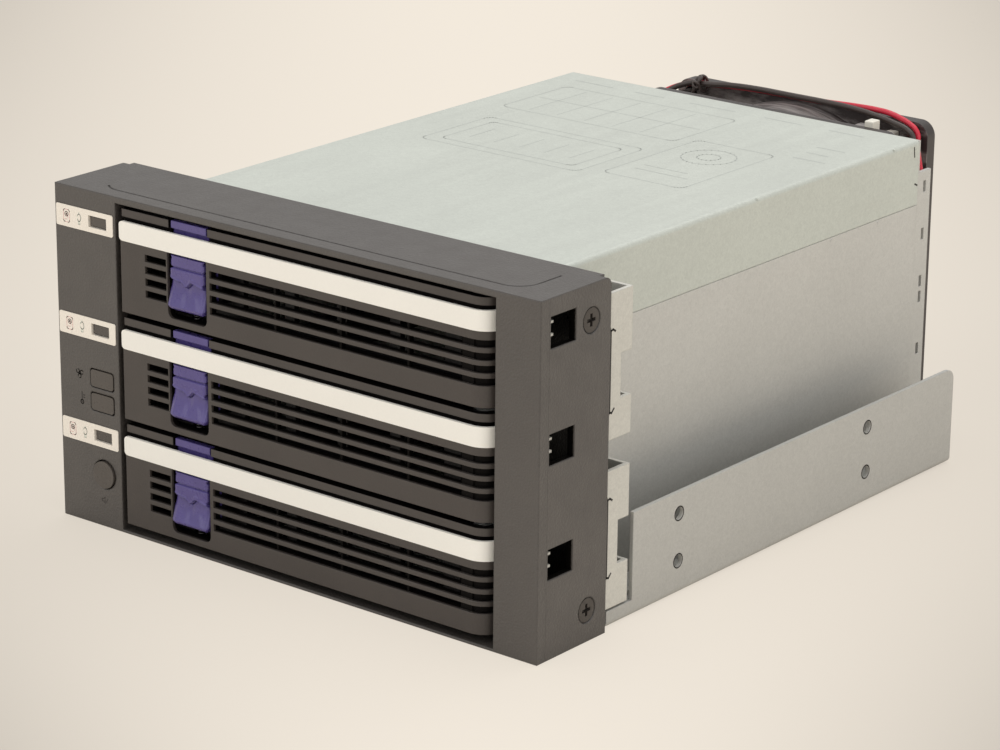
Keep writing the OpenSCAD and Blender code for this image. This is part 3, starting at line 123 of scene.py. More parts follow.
class Nodes:
    """A new node material, and short ways to add nodes to it."""

    def __init__(self, name):
        self.material = bpy.data.materials.new(name)
        self.material.use_nodes = True
        self.tree = self.material.node_tree
        self.shader = self.tree.nodes["Principled BSDF"]
        self.place = self.tree.nodes.new("ShaderNodeTexCoord").outputs["Object"]

    def join(self, value, socket):
        """Links another node to a socket, or gives it a value."""
        if isinstance(value, bpy.types.NodeSocket):
            self.tree.links.new(value, socket)
        else:
            socket.default_value = value

    def fill(self, node, inputs):
        for key, value in inputs.items():
            self.join(value, node.inputs[key.replace("_", " ")])
        return node

    def add(self, kind, **inputs):
        return self.fill(self.tree.nodes.new("ShaderNode" + kind), inputs)

    def shade(self, **inputs):
        """Joins values to the inputs of the shader and gives the material."""
        self.fill(self.shader, inputs)
        return self.material

    def operate(self, kind, operation, a, b):
        node = self.add(kind)
        node.operation = operation
        self.join(a, node.inputs[0])
        self.join(b, node.inputs[1])
        return node.outputs

    def math(self, operation, a, b=0.0):
        return self.operate("Math", operation, a, b)[0]

    def times(self, product, *others):
        for value in others:
            product = self.math("MULTIPLY", product, value)
        return product

    def above(self, value, low):
        """1 where a value is over low, 0 elsewhere."""
        return self.math("GREATER_THAN", value, low)

    def between(self, value, low, high):
        return self.times(self.above(value, low), self.math("LESS_THAN", value, high))

    def radius(self, x, y):
        return self.math("SQRT", self.math("ADD", self.times(x, x), self.times(y, y)))

    def along(self, direction, origin=(0, 0, 0)):
        """How far the place is from the origin along a direction."""
        away = self.operate("VectorMath", "SUBTRACT", self.place, origin)["Vector"]
        return self.operate("VectorMath", "DOT_PRODUCT", away, direction)["Value"]

    def noise(self, size, detail=2.0, rough=0.5, stretch=(1, 1, 1)):
        """A noise whose spots are about size across, longer along the axes with a stretch over 1."""
        mapped = self.add("Mapping", Vector=self.place, Scale=[1 / (size * s) for s in stretch])
        return self.add("TexNoise", Vector=mapped.outputs["Vector"], Scale=1.0, Detail=detail,
                        Roughness=rough).outputs["Fac"]

    def cells(self, size):
        """A pattern of cells that are about size across."""
        return self.add("TexVoronoi", Vector=self.place, Scale=1 / size).outputs

    def remap(self, value, low, high, to_low, to_high):
        return self.add("MapRange", Value=value, From_Min=low, From_Max=high, To_Min=to_low,
                        To_Max=to_high).outputs["Result"]

    def spread(self, noise, to_low, to_high):
        """A noise turned into values from to_low to to_high."""
        return self.remap(noise, NOISE_LOW, NOISE_HIGH, to_low, to_high)

    def blend(self, a, b, share, kind="MIX"):
        mix = self.add("Mix")
        mix.data_type, mix.blend_type = "RGBA", kind
        self.join(share, mix.inputs[0])
        self.join(a, mix.inputs[COLOR_ONE])
        self.join(b, mix.inputs[COLOR_TWO])
        return mix.outputs[COLOR_OUT]

    def tint(self, color, *values):
        """The colour times each of the values."""
        for value in values:
            color = self.blend(color, value, 1.0, "MULTIPLY")
        return color

    def relief(self, height, depth, under=None):
        """A normal that shows a height as deep as depth, on top of another normal."""
        node = self.add("Bump", Height=height, Distance=depth, Strength=1.0)
        if under is not None:
            self.join(under, node.inputs["Normal"])
        return node.outputs["Normal"]

    def rounding(self, radius):
        """A normal that turns smoothly round each edge, over a radius."""
        node = self.add("Bevel", Radius=radius)
        node.samples = ROUNDING_SAMPLES
        return node.outputs["Normal"]


def rgb(red, green, blue):
    """A colour given in the 0 to 255 steps that a screen shows, as the linear values that shaders use."""
    def linear(v):
        v /= 255
        return v / 12.92 if v <= 0.04045 else ((v + 0.055) / 1.055) ** 2.4
    return (linear(red), linear(green), linear(blue), 1.0)


GRAIN_SIZE = 0.0004


def surface(name, color, rough, metal=0.0, tone=0.04, tone_size=0.02, grain=0.0, rough_spread=0.06, coat=0.0,
            edge=0.0):
    """A finish with slow changes of tone, a relief as deep as grain and an uneven roughness."""
    n = Nodes(name)
    slow = n.noise(tone_size, detail=4.0)
    fine = n.noise(GRAIN_SIZE, detail=3.0, rough=0.6)
    if grain:
        n.shade(Normal=n.relief(fine, grain, n.rounding(edge) if edge else None))
    tones = [n.spread(noise, 1 - tone, 1 + tone) for noise in (slow, fine)]
    return n.shade(Base_Color=n.tint(color, *tones),
                   Roughness=n.spread(n.noise(tone_size / 3), rough - rough_spread, rough + rough_spread),
                   Metallic=metal, Coat_Weight=coat)


SIDE_LINE_Y, SIDE_LINE_HALF, SIDE_LINE_DEPTH, SIDE_LINE_FROM = 2.9, 0.2, 0.00012, 0.0740
BEZEL_EDGE, BEZEL_CELL, BEZEL_GRAIN = 0.0006, 0.0006, 0.00008
INNER_FROM, INNER_TO, INNER_FRONT, INNER_LOW, INNER_HIGH = 0.0613, 0.0738, 1.0, 0.0007, 0.083
# Painted shade in the bezel's right and left columns: a nearly black colour and a low specular stand for the
# shade there
INNER_SHADE, INNER_SHADE_SPECULAR = (0.004, 0.0035, 0.003, 1.0), 0.04


def moulded(name, color, rough, specular):
    """Textured moulded plastic of the bezel: a fine leathery grain, dull dust in its slow tones, a faint step
    line down each side face, and painted shade within its right and left columns: nearly black, with little
    sheen."""
    n = Nodes(name)
    slow, fine = n.noise(0.035, detail=5.0), n.noise(0.0005, detail=3.0, rough=0.65)
    tone = n.tint(color, n.spread(slow, 0.955, 1.045), n.spread(fine, 0.88, 1.12))
    across = n.math("ABSOLUTE", n.along(RIGHT))
    # painted shade: a mask for the walls within the right and left columns, which get a nearly black colour
    # and little sheen
    column_shade = n.times(n.between(across, INNER_FROM, INNER_TO), n.between(n.along(UP), INNER_LOW, INNER_HIGH),
                     n.above(n.along(BACK, at(0, INNER_FRONT, 0)), 0.0))
    off = n.math("ABSOLUTE", n.along(BACK, at(0, SIDE_LINE_Y, 0)))
    line = n.times(n.remap(off, 0, SIDE_LINE_HALF * MM, 1.0, 0.0), n.above(across, SIDE_LINE_FROM))
    step = n.relief(line, -SIDE_LINE_DEPTH, n.rounding(BEZEL_EDGE))
    leather = n.relief(n.cells(BEZEL_CELL)["Distance"], BEZEL_GRAIN, step)
    return n.shade(Base_Color=n.blend(tone, INNER_SHADE, column_shade),
                   Roughness=n.spread(n.noise(0.006, detail=3.0), rough - 0.05, rough + 0.07),
                   Specular_IOR_Level=n.remap(column_shade, 0.0, 1.0, specular, INNER_SHADE_SPECULAR),
                   Normal=n.relief(fine, BEZEL_GRAIN, leather))


# Painted shade in the levers' slots and recesses: from DEEP_FROM to DEEP_TO behind the face, a nearly black
# colour and a low specular
DEEP_FROM, DEEP_TO, DEEP_SHADE, DEEP_SHADE_SPECULAR = 0.75, 6.0, (0.006, 0.005, 0.0045, 1.0), 0.06
HINGE_X, HINGE_Y, HINGE_OUT, HINGE_LEFT = 54.9, 5.4, 4.75, 0.4
LEVER_SPECULAR, LEVER_EDGE, LEVER_GRAIN = 0.5, 0.0003, 0.00005


def lever_finish(name, color):
    """Black plastic of the levers, with painted shade: nearly black and with little sheen in the slots and
    recesses, but for the hinge's skin.
    """
    n = Nodes(name)
    slow, fine = n.noise(0.02, detail=4.0), n.noise(0.0005, detail=3.0, rough=0.6)
    tone = n.tint(color, n.spread(slow, 0.93, 1.07), n.spread(fine, 0.94, 1.06))
    hinge = at(HINGE_X, HINGE_Y, 0)
    x = n.along(RIGHT, hinge)
    skin = n.times(n.above(x, -HINGE_LEFT * MM), n.above(n.radius(x, n.along(BACK, hinge)), HINGE_OUT * MM))
    # painted shade: the slots and recesses from DEEP_FROM to DEEP_TO behind the face, but for the hinge's
    # skin
    deep = n.times(n.between(n.along(BACK, at(0, 0, 0)), DEEP_FROM * MM, DEEP_TO * MM),
                   n.math("SUBTRACT", 1.0, skin))
    return n.shade(Base_Color=n.blend(tone, DEEP_SHADE, deep), Roughness=n.spread(n.noise(0.007), 0.38, 0.5),
                   Specular_IOR_Level=n.remap(deep, 0.0, 1.0, LEVER_SPECULAR, DEEP_SHADE_SPECULAR),
                   Normal=n.relief(fine, LEVER_GRAIN, n.rounding(LEVER_EDGE)))


ZINC_ROUGH, ZINC_METAL, ZINC_SPECULAR = 0.5, 0.25, 0.45
ZINC_CELL, ZINC_GRAIN, ZINC_EDGE, LOW_REACH = 0.0009, 0.00002, 0.0003, 0.06


def zinc(name, color, low_shade=1.0):
    """Zinc plated sheet: a fine mottle of brighter and duller grains, with faint rolling streaks. Painted
    shade:
    up to LOW_REACH above the floor its tone goes from low_shade to full, darker towards the floor."""
    n = Nodes(name)
    mottle, streaks = n.cells(ZINC_CELL)["Color"], n.noise(0.004, detail=3.0, stretch=(1, 12, 1))
    clouds, fine = n.noise(0.03, detail=3.0), n.noise(0.00045, detail=2.0)
    return n.shade(Base_Color=n.tint(color, n.remap(mottle, 0.0, 1.0, 0.96, 1.03),
                                     n.spread(streaks, 0.985, 1.012), n.spread(clouds, 0.975, 1.02),
                                     # painted shade, darker towards the floor
                                     n.remap(n.along(UP), 0.0, LOW_REACH, low_shade, 1.0),
                                     n.spread(fine, 0.95, 1.05)),
                   Roughness=n.spread(streaks, ZINC_ROUGH - 0.05, ZINC_ROUGH + 0.05),
                   Metallic=ZINC_METAL, Specular_IOR_Level=ZINC_SPECULAR,
                   Normal=n.relief(fine, ZINC_GRAIN, n.rounding(ZINC_EDGE)))


TRACK_LIGHT, TRACK_SHARE, TRACK_RELIEF, BOARD_COAT = 1.7, 0.5, 0.00003, 0.3


def board_finish(name, color):
    """Solder mask over copper: tracks show as slightly lighter bands."""
    n = Nodes(name)
    tracks = n.noise(0.006, detail=0.0, stretch=(6, 1, 0.3))
    lighter = [c * TRACK_LIGHT for c in color[:3]] + [1.0]
    return n.shade(Base_Color=n.blend(color, lighter, n.remap(tracks, 0.48, 0.52, 0.0, TRACK_SHARE)),
                   Roughness=n.spread(n.noise(0.0016, detail=0.0), 0.32, 0.42), Coat_Weight=BOARD_COAT,
                   Normal=n.relief(tracks, TRACK_RELIEF))


DUCT_GREY, DUCT_DARK = rgb(140, 133, 130), rgb(62, 55, 54)
DUCT_FROM, DUCT_TO, DUCT_FRONT, DUCT_BACK = 0.0388, 0.056, 3.4, 16.6
FAN_X, FAN_Z, FAN_FRONT, FAN_GRAIN, FAN_EDGE = 10.25, 42.5, 176.0, 0.00002, 0.0004


def fan_finish(name, color):
    """Black plastic of the fan. The skin of its duct is dull grey, streaked along the way round."""
    n = Nodes(name)
    slow, fine = n.noise(0.02, detail=4.0), n.noise(0.0004, detail=3.0)
    streaks = n.noise(0.0035, detail=5.0, rough=0.7, stretch=(5, 0.45, 1.5))
    axis = at(FAN_X, FAN_FRONT, FAN_Z)
    on_duct = n.times(n.between(n.radius(n.along(RIGHT, axis), n.along(UP, axis)), DUCT_FROM, DUCT_TO),
                      n.between(n.along(BACK, axis), DUCT_FRONT * MM, DUCT_BACK * MM))
    plain = n.tint(color, n.spread(slow, 0.94, 1.06), n.spread(fine, 0.94, 1.06))
    grey = n.blend(DUCT_DARK, DUCT_GREY, n.remap(streaks, 0.42, 0.6, 0.0, 1.0))
    return n.shade(Base_Color=n.blend(plain, grey, on_duct), Roughness=n.spread(slow, 0.35, 0.47),
                   Normal=n.relief(fine, FAN_GRAIN, n.rounding(FAN_EDGE)))


FINISHES = {
    "bezel_black": lambda s: moulded(s, rgb(71, 66, 62), 0.46, specular=0.92),
    "lever_black": lambda s: lever_finish(s, rgb(70, 64, 60)),
    "tray_black": lambda s: surface(s, rgb(26, 24, 24), 0.5, grain=0.00003, edge=0.0003),
    "bar_silver": lambda s: surface(s, rgb(251, 248, 240), 0.34, tone=0.012, coat=0.2),
    "latch_purple": lambda s: surface(s, rgb(82, 71, 134), 0.3, tone=0.05, tone_size=0.004, grain=0.00001,
                                      coat=0.25),
    "plate_white": lambda s: surface(s, rgb(248, 240, 228), 0.38, tone=0.012, coat=0.1),
    "lens_dark": lambda s: surface(s, rgb(78, 72, 67), 0.3, tone=0.04, tone_size=0.003, coat=0.2),
    "case_steel": lambda s: zinc(s, rgb(200, 204, 196)),
    # the side walls carry painted shade, darker towards the floor
    "side_steel": lambda s: zinc(s, rgb(200, 199, 194), low_shade=0.8),
    "bracket_steel": lambda s: zinc(s, rgb(208, 206, 198)),
    "screw_black": lambda s: surface(s, rgb(74, 69, 65), 0.38, metal=0.4, grain=0.00001),
    "screw_zinc": lambda s: surface(s, rgb(190, 190, 190), 0.32, metal=1.0, grain=0.00001),
    "pin_chrome": lambda s: surface(s, rgb(250, 249, 246), 0.3, metal=0.5, tone=0.02, rough_spread=0.03),
    # dark steel for the springs, partly painted shade: darkened so that they pass for the shade in the
    # latches' recesses
    "spring_steel": lambda s: surface(s, rgb(96, 94, 94), 0.3, metal=1.0),
    "guide_black": lambda s: surface(s, rgb(30, 29, 29), 0.4, grain=0.00001),
    "board_green": lambda s: board_finish(s, rgb(28, 82, 50)),
    "port_black": lambda s: surface(s, rgb(30, 29, 30), 0.38, grain=0.00001),
    "port_white": lambda s: surface(s, rgb(234, 229, 217), 0.4, tone=0.02, grain=0.00001),
    "fan_black": lambda s: fan_finish(s, rgb(58, 52, 50)),
    "lead_red": lambda s: surface(s, rgb(206, 40, 62), 0.38, tone=0.03, tone_size=0.004),
    "lead_black": lambda s: surface(s, rgb(66, 56, 52), 0.42, tone=0.08, tone_size=0.004),
    "tie_black": lambda s: surface(s, rgb(72, 62, 58), 0.4, tone=0.1, tone_size=0.002),
    "print_red": lambda s: surface(s, rgb(234, 196, 190), 0.6, tone=0.06, tone_size=0.0006),
    "print_green": lambda s: surface(s, rgb(204, 218, 205), 0.6, tone=0.05, tone_size=0.0006),
    # dark print for the bezel's marks, and painted shade in slits of the sheet metal and round its holes
    "dark_print_and_shade": lambda s: surface(s, rgb(44, 39, 37), 0.6, tone=0.1, tone_size=0.0006),
    "print_pale": lambda s: surface(s, rgb(183, 187, 181), 0.6, tone=0.03, tone_size=0.004),
}
made = {}


def finish(slot):
    if slot not in made:
        made[slot] = FINISHES[slot](slot)
    return made[slot]


# Pieces

SHARP_ANGLE = math.radians(30)
WELD = 2e-6
EDGE = 0.0002


def new_piece(name, mesh, slot, body):
    """Puts a mesh or curve in the scene with a slot's finish, riding on a body."""
    piece = bpy.data.objects.new(name, mesh)
    bpy.context.scene.collection.objects.link(piece)
    mesh.materials.clear()
    mesh.materials.append(finish(slot))
    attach(piece, body)
    return piece


def from_bmesh(name, bm, slot, body, smooth=True, outward=True):
    mesh = bpy.data.meshes.new(name)
    if outward:
        bmesh.ops.recalc_face_normals(bm, faces=bm.faces)
    bm.to_mesh(mesh)
    bm.free()
    mesh.shade_smooth() if smooth else mesh.shade_flat()
    return new_piece(name, mesh, slot, body)


def smooth_shading(piece):
    piece.modifiers.new("shading", "WEIGHTED_NORMAL").keep_sharp = True


def round_edges(piece, width, segments=2):
    bevel = piece.modifiers.new("edges", "BEVEL")
    bevel.limit_method, bevel.angle_limit, bevel.width, bevel.segments = "ANGLE", SHARP_ANGLE, width, segments
    smooth_shading(piece)
    return piece


def add_box(bm, low, high):
    made_box = bmesh.ops.create_cube(bm, size=1.0)
    size = high - low
    for v in made_box["verts"]:
        v.co = Vector([low[i] + (v.co[i] + 0.5) * size[i] for i in range(3)])


def join_rings(bm, rings, closed=False):
    """Adds faces from each ring of vertices to the next and, where closed, from the last to the first."""
    for one, two in zip(rings, rings[1:] + (rings[:1] if closed else [])):
        for k in range(len(one)):
            m = (k + 1) % len(one)
            bm.faces.new((one[k], one[m], two[m], two[k]))


def add_shell(bm, one, two):
    """Adds a closed solid between two grids of places, given as rows, that lie one behind the other."""
    one, two = [[[bm.verts.new(p) for p in row] for row in grid] for grid in (one, two)]
    rows, columns = len(one) - 1, len(one[0]) - 1
    for r in range(rows):
        for c in range(columns):
            for grid in (one, two):
                bm.faces.new((grid[r][c], grid[r][c + 1], grid[r + 1][c + 1], grid[r + 1][c]))
        for c in (0, columns):
            bm.faces.new((one[r][c], two[r][c], two[r + 1][c], one[r + 1][c]))
    for c in range(columns):
        for r in (0, rows):
            bm.faces.new((one[r][c], one[r][c + 1], two[r][c + 1], two[r][c]))


def frames_along(points, closed=False):
    """The direction at each point of a path and a side vector, carried along without turning."""
    n = len(points)
    heads = []
    for i in range(n):
        before, after = (i - 1) % n if closed else max(i - 1, 0), (i + 1) % n if closed else min(i + 1, n - 1)
        heads.append((points[after] - points[before]).normalized())
    side = heads[0].orthogonal().normalized()
    sides = []
    for head in heads:
        side = (side - side.dot(head) * head).normalized()
        sides.append(side)
    return heads, sides


def add_tube(bm, points, radius, around=8, closed=False):
    """Adds a round tube along the points to a mesh."""
    rings = []
    for p, head, side in zip(points, *frames_along(points, closed)):
        up = head.cross(side)
        rings.append([bm.verts.new(p + radius * (math.cos(t) * side + math.sin(t) * up))
                      for t in (2 * math.pi * k / around for k in range(around))])
    join_rings(bm, rings, closed)
    if not closed:
        bm.faces.new(rings[0][::-1])
        bm.faces.new(rings[-1])


def smooth_path(points, steps):
    """A path through the points with rounded turns."""
    out = []
    n = len(points)
    for i in range(n - 1):
        p0, p1, p2, p3 = points[max(i - 1, 0)], points[i], points[i + 1], points[min(i + 2, n - 1)]
        for k in range(steps):
            t = k / steps
            out.append(0.5 * ((2 * p1) + (p2 - p0) * t + (2 * p0 - 5 * p1 + 4 * p2 - p3) * t * t
                              + (3 * p1 - p0 - 3 * p2 + p3) * t ** 3))
    return out + [points[-1]]


def softened(node, width):
    """Replaces a CAD node by the same shape with its edges rounded by width."""
    mesh = nodes[node].data.copy()
    mesh.name = node + "_shape"
    mesh.shade_smooth()
    piece = new_piece(node + "_shape", mesh, slot_of_node[node], body_of_node[node])
    weld = piece.modifiers.new("weld", "WELD")
    weld.merge_threshold = WELD
    round_edges(piece, width, segments=3)
    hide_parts(node)


SOFT_NODES = {"mute_button": 0.0004, "fan_alarm_lens": EDGE, "heat_alarm_lens": EDGE, "bezel_screws": 0.0001,
              "fan_screws": 0.0001, "wall_rivets": 0.0003, "indicator_board_screws": EDGE, "fan_plug": EDGE,
              "fan_header": 0.0001, "lead_clip": 0.0003}
for k in TRAYS:
    SOFT_NODES.update({f"light_pipe_{k}": 0.0001, f"lever_bar_{k}": EDGE, f"hinge_pin_{k}": 0.0003})


# Latches: a carved pad below the bar, and the plate, the arm and its hook behind

LATCH_FOOT, PAD_TOP, LATCH_TOP, PLATE_FOOT, PLATE_TOP = 3.8, 17.2, 25.4, 7.3, 22.8
LATCH_HALF, PLATE_HALF, ARM_HALF = 5.65, 7.65, 3.0
PAD_BACK, STEM_FRONT, STRIP_FRONT, STRIP_LOW, PLATE_BACK = 2.5, 1.8, 0.8, 23.5, 4.6
ARM_LOW, ARM_TOP, HOOK_FRONT, HOOK_BACK, HOOK_TOP = 11.3, 12.7, 8.3, 9.3, 13.7
LAP = 0.2                                      # how far its boxes reach into each other
PAD_COLUMNS, PAD_ROWS = 44, 84
STEP_Z, STEP_WAVE, STEP_TURN, STEP_SHIFT, STEP_SLOPE = 11.35, 0.3, 0.8, 0.6, 0.07
DIP_DEPTH, DIP_X, DIP_HALF = 1.35, -0.2, 1.7
PAD_HALF, PAD_GROWTH, GROWTH_Z, GROWTH_REACH = 5.3, 0.35, 10.6, 2.5
NOTCHES, NOTCH_DEPTH = ((14.4, 0.45, 1.0), (16.6, 0.5, 1.0), (11.3, 0.5, 0.8)), 0.45
CORNER_Z, CORNER_HEIGHT, CORNER_WIDTH = 5.5, 1.75, 1.6
SIDE_FROM, SIDE_REACH, LAND_SIDE, SCOOP_SIDE = 4.6, 0.9, 0.25, 0.3
LAND, GROOVE_Z, GROOVE_HALF, GROOVE_DEPTH = 0.12, 14.3, 0.35, 0.6
ARC_DEPTH, ARC_X, ARC_HALF, ARC_ABOVE, ARC_HEIGHT = 0.2, 1.7, 1.5, 0.75, 0.4
STEP_ROLL, STEP_ROLL_HEIGHT = 0.2, 0.8
SCOOP_FOOT, SCOOP_LOW, SCOOP_RISE, SCOOP_CURVE, FOOT_RISE, FOOT_REACH = 5.1, 0.6, 1.55, 1.6, 1.5, 1.3
LIP_DEPTH, LIP_BELOW, LIP_HEIGHT = 0.55, 0.1, 0.4
CREASE_DEPTH, CREASE_X, CREASE_LEAN, CREASE_HALF, CREASE_FROM, CREASE_FADE = 0.14, 3.6, 2.2, 1.2, 0.45, 0.3


def bump(x, middle, half):
    """A smooth hump from 0 to 1 to 0 around the middle."""
    t = min(1.0, abs(x - middle) / half)
    return (1 - t * t) ** 2


def ease(t):
    t = min(1.0, max(0.0, t))
    return t * t * (3 - 2 * t)


def step_line(x):
    """Height of the wavy step across the pad, with its dip in the middle."""
    wave = STEP_WAVE * math.sin(STEP_TURN * x + STEP_SHIFT)
    return STEP_Z + wave - DIP_DEPTH * bump(x, DIP_X, DIP_HALF) - STEP_SLOPE * x


def pad_half(z):
    """Half the width of the pad: wider at the thumb, with small notches in its sides."""
    notches = sum(share * bump(z, middle, half) for middle, half, share in NOTCHES)
    corner = min(1.0, max(0.0, (CORNER_Z - z) / CORNER_HEIGHT))
    return (PAD_HALF + PAD_GROWTH * ease((GROWTH_Z - z) / GROWTH_REACH) - NOTCH_DEPTH * notches
            - CORNER_WIDTH * (1 - math.sqrt(1 - corner * corner)))


def pad_face(x, z):
    """Depth of the pad's face: flat lands, a groove, the wavy step and the scoop for the thumb."""
    step = step_line(x)
    side = ease((abs(x) - SIDE_FROM) / SIDE_REACH)
    if z > step:
        land = LAND if z > GROOVE_Z else -LAND
        arc = ARC_DEPTH * bump(x, ARC_X, ARC_HALF) * bump(z, step + ARC_ABOVE, ARC_HEIGHT)
        roll = STEP_ROLL * ease((step + STEP_ROLL_HEIGHT - z) / STEP_ROLL_HEIGHT)
        return land + GROOVE_DEPTH * bump(z, GROOVE_Z, GROOVE_HALF) - arc - roll + LAND_SIDE * side
    t = (step - z) / (step - SCOOP_FOOT)
    if t <= 1:
        crease = (CREASE_DEPTH * bump(x - CREASE_X + CREASE_LEAN * (1 - t), 0, CREASE_HALF)
                  * ease((t - CREASE_FROM) / CREASE_FADE))
        lip = LIP_DEPTH * bump(z, step - LIP_BELOW, LIP_HEIGHT)
        return SCOOP_LOW - SCOOP_RISE * t ** SCOOP_CURVE - crease + lip + SCOOP_SIDE * side
    return SCOOP_LOW - SCOOP_RISE + FOOT_RISE * ((SCOOP_FOOT - z) / FOOT_REACH) ** 2 + SCOOP_SIDE * side


def make_latch(k):
    low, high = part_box(f"lever_latch_{k}")
    middle, foot = (low.x + high.x) / 2 / MM, low.z / MM - LATCH_FOOT

    def place(x, y, z):
        return at(middle + x, y, foot + z)

    front, back = [], []
    for r in range(PAD_ROWS + 1):
        z = LATCH_FOOT + (PAD_TOP - LATCH_FOOT) * r / PAD_ROWS
        half = pad_half(z)
        xs = [half * (2 * c / PAD_COLUMNS - 1) for c in range(PAD_COLUMNS + 1)]
        front.append([place(x, pad_face(x, z), z) for x in xs])
        back.append([place(x, PAD_BACK, z) for x in xs])
    bm = bmesh.new()
    add_shell(bm, front, back)
    pad = from_bmesh(f"latch_pad_{k}", bm, "latch_purple", body_of_node[f"lever_latch_{k}"])
    smooth_shading(pad)

    bm = bmesh.new()
    for lo, hi in (((-LATCH_HALF, STEM_FRONT, PAD_TOP - LAP), (LATCH_HALF, PAD_BACK + LAP, STRIP_LOW + LAP)),
                   ((-LATCH_HALF, STRIP_FRONT, STRIP_LOW), (LATCH_HALF, PAD_BACK + LAP, LATCH_TOP)),
                   ((-PLATE_HALF, PAD_BACK, PLATE_FOOT), (PLATE_HALF, PLATE_BACK, PLATE_TOP)),
                   ((-ARM_HALF, PLATE_BACK - LAP, ARM_LOW), (ARM_HALF, HOOK_BACK, ARM_TOP)),
                   ((-ARM_HALF, HOOK_FRONT, ARM_LOW), (ARM_HALF, HOOK_BACK, HOOK_TOP))):
        add_box(bm, place(*lo), place(*hi))
    round_edges(from_bmesh(f"latch_slide_{k}", bm, "latch_purple", body_of_node[f"lever_latch_{k}"]), EDGE)
    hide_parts(f"lever_latch_{k}")


# Springs, wound

COIL_TURNS, COIL_WIRE, COIL_STEPS, COIL_END_SHARE, COIL_EASED = 7.5, 0.16, 20, 0.08, 0.4


def make_spring(k):
    low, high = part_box(f"latch_spring_{k}")
    middle = (low + high) / 2
    radius = (high.x - low.x) / 2 - COIL_WIRE * MM
    count = int(COIL_TURNS * COIL_STEPS)
    points = []
    for i in range(count + 1):
        t = i / count
        rise = ease((t - COIL_END_SHARE) / (1 - 2 * COIL_END_SHARE)) * COIL_EASED + t * (1 - COIL_EASED)
        angle = 2 * math.pi * COIL_TURNS * t
        z = low.z + COIL_WIRE * MM + rise * (high.z - low.z - 2 * COIL_WIRE * MM)
        points.append(Vector((middle.x + radius * math.cos(angle), middle.y + radius * math.sin(angle), z)))
    bm = bmesh.new()
    add_tube(bm, points, COIL_WIRE * MM)
    spring = from_bmesh(f"latch_coil_{k}", bm, "spring_steel", body_of_node[f"latch_spring_{k}"])
    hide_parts(f"latch_spring_{k}")
    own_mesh(spring)


# Fan: a rotor with nine curved blades round its cup

CUP_R, CUP_WALL, CUP_FRONT, CUP_BACK, SHAFT_R, SHAFT_BACK = 17.2, 1.5, 2.2, 14.2, 1.5, 15.2
CUP_SUNK, CUP_AROUND = 0.4, 64
CUP_PROFILE = ((SHAFT_R, CUP_FRONT + CUP_WALL), (SHAFT_R, SHAFT_BACK), (0.02, SHAFT_BACK),
               (0.02, CUP_FRONT + CUP_SUNK), (6.5, CUP_FRONT + CUP_SUNK), (7.1, CUP_FRONT),
               (CUP_R - 1.6, CUP_FRONT), (CUP_R - 0.6, CUP_FRONT + 0.35), (CUP_R, CUP_FRONT + 1.5),
               (CUP_R, CUP_BACK), (CUP_R - CUP_WALL, CUP_BACK), (CUP_R - CUP_WALL, CUP_FRONT + CUP_WALL))
BLADE_ROOT, BLADE_TIP, BLADE_FRONT, BLADE_BACK, BLADE_COUNT = CUP_R - 0.5, 37.15, 2.5, 13.9, 9
BLADE_STEPS, CHORD_STEPS = 12, 14
BLADE_SWEEP = math.radians(16)
CHORD_AT_ROOT, CHORD_GROWTH, THICK_AT_ROOT, THINNING = 10.5, 6.5, 1.5, 0.6
BLADE_BOW, BOW_LOSS, TWIST_LOSS = 1.6, 0.4, 0.12
SKIN_ACROSS, SKIN_DEEP = 0.6, 0.75             # which way a blade is thick, across and in depth


def fan_place(r, angle, d):
    return at(FAN_X + r * math.cos(angle), FAN_FRONT + d, FAN_Z + r * math.sin(angle))


def blade_skin(start, side):
    """One side of a blade, as rows of places from its root to its tip."""
    rows = []
    for i in range(BLADE_STEPS + 1):
        s = i / BLADE_STEPS
        radius = BLADE_ROOT + (BLADE_TIP - BLADE_ROOT) * s
        row = []
        for j in range(CHORD_STEPS + 1):
            t = j / CHORD_STEPS
            across = ((t - 0.5) * (CHORD_AT_ROOT + CHORD_GROWTH * s)
                      + BLADE_BOW * math.sin(math.pi * t) * (1 - BOW_LOSS * s))
            share = 0.5 - 0.5 * math.cos(math.pi * t) * (1 - TWIST_LOSS * s)
            depth = BLADE_FRONT + (BLADE_BACK - BLADE_FRONT) * share
            half = 0.5 * (THICK_AT_ROOT - THINNING * s) * math.sqrt(max(0.0, 1 - (2 * t - 1) ** 4))
            angle = start + BLADE_SWEEP * s * s + (across + side * half * SKIN_ACROSS) / radius
            d = min(BLADE_BACK, max(BLADE_FRONT, depth - side * half * SKIN_DEEP))
            row.append(fan_place(radius, angle, d))
        rows.append(row)
    return rows


def make_rotor():
    bm = bmesh.new()
    join_rings(bm, [[bm.verts.new(fan_place(r, 2 * math.pi * k / CUP_AROUND, d)) for k in range(CUP_AROUND)]
                    for r, d in CUP_PROFILE], closed=True)
    for b in range(BLADE_COUNT):
        start = 2 * math.pi * b / BLADE_COUNT
        add_shell(bm, blade_skin(start, -1), blade_skin(start, 1))
    rotor = from_bmesh("fan_rotor_shape", bm, "fan_black", body_of_node["fan_rotor"])
    smooth_shading(rotor)
    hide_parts("fan_rotor")


# Fan leads, along the same points as in the solids, and the tie round them

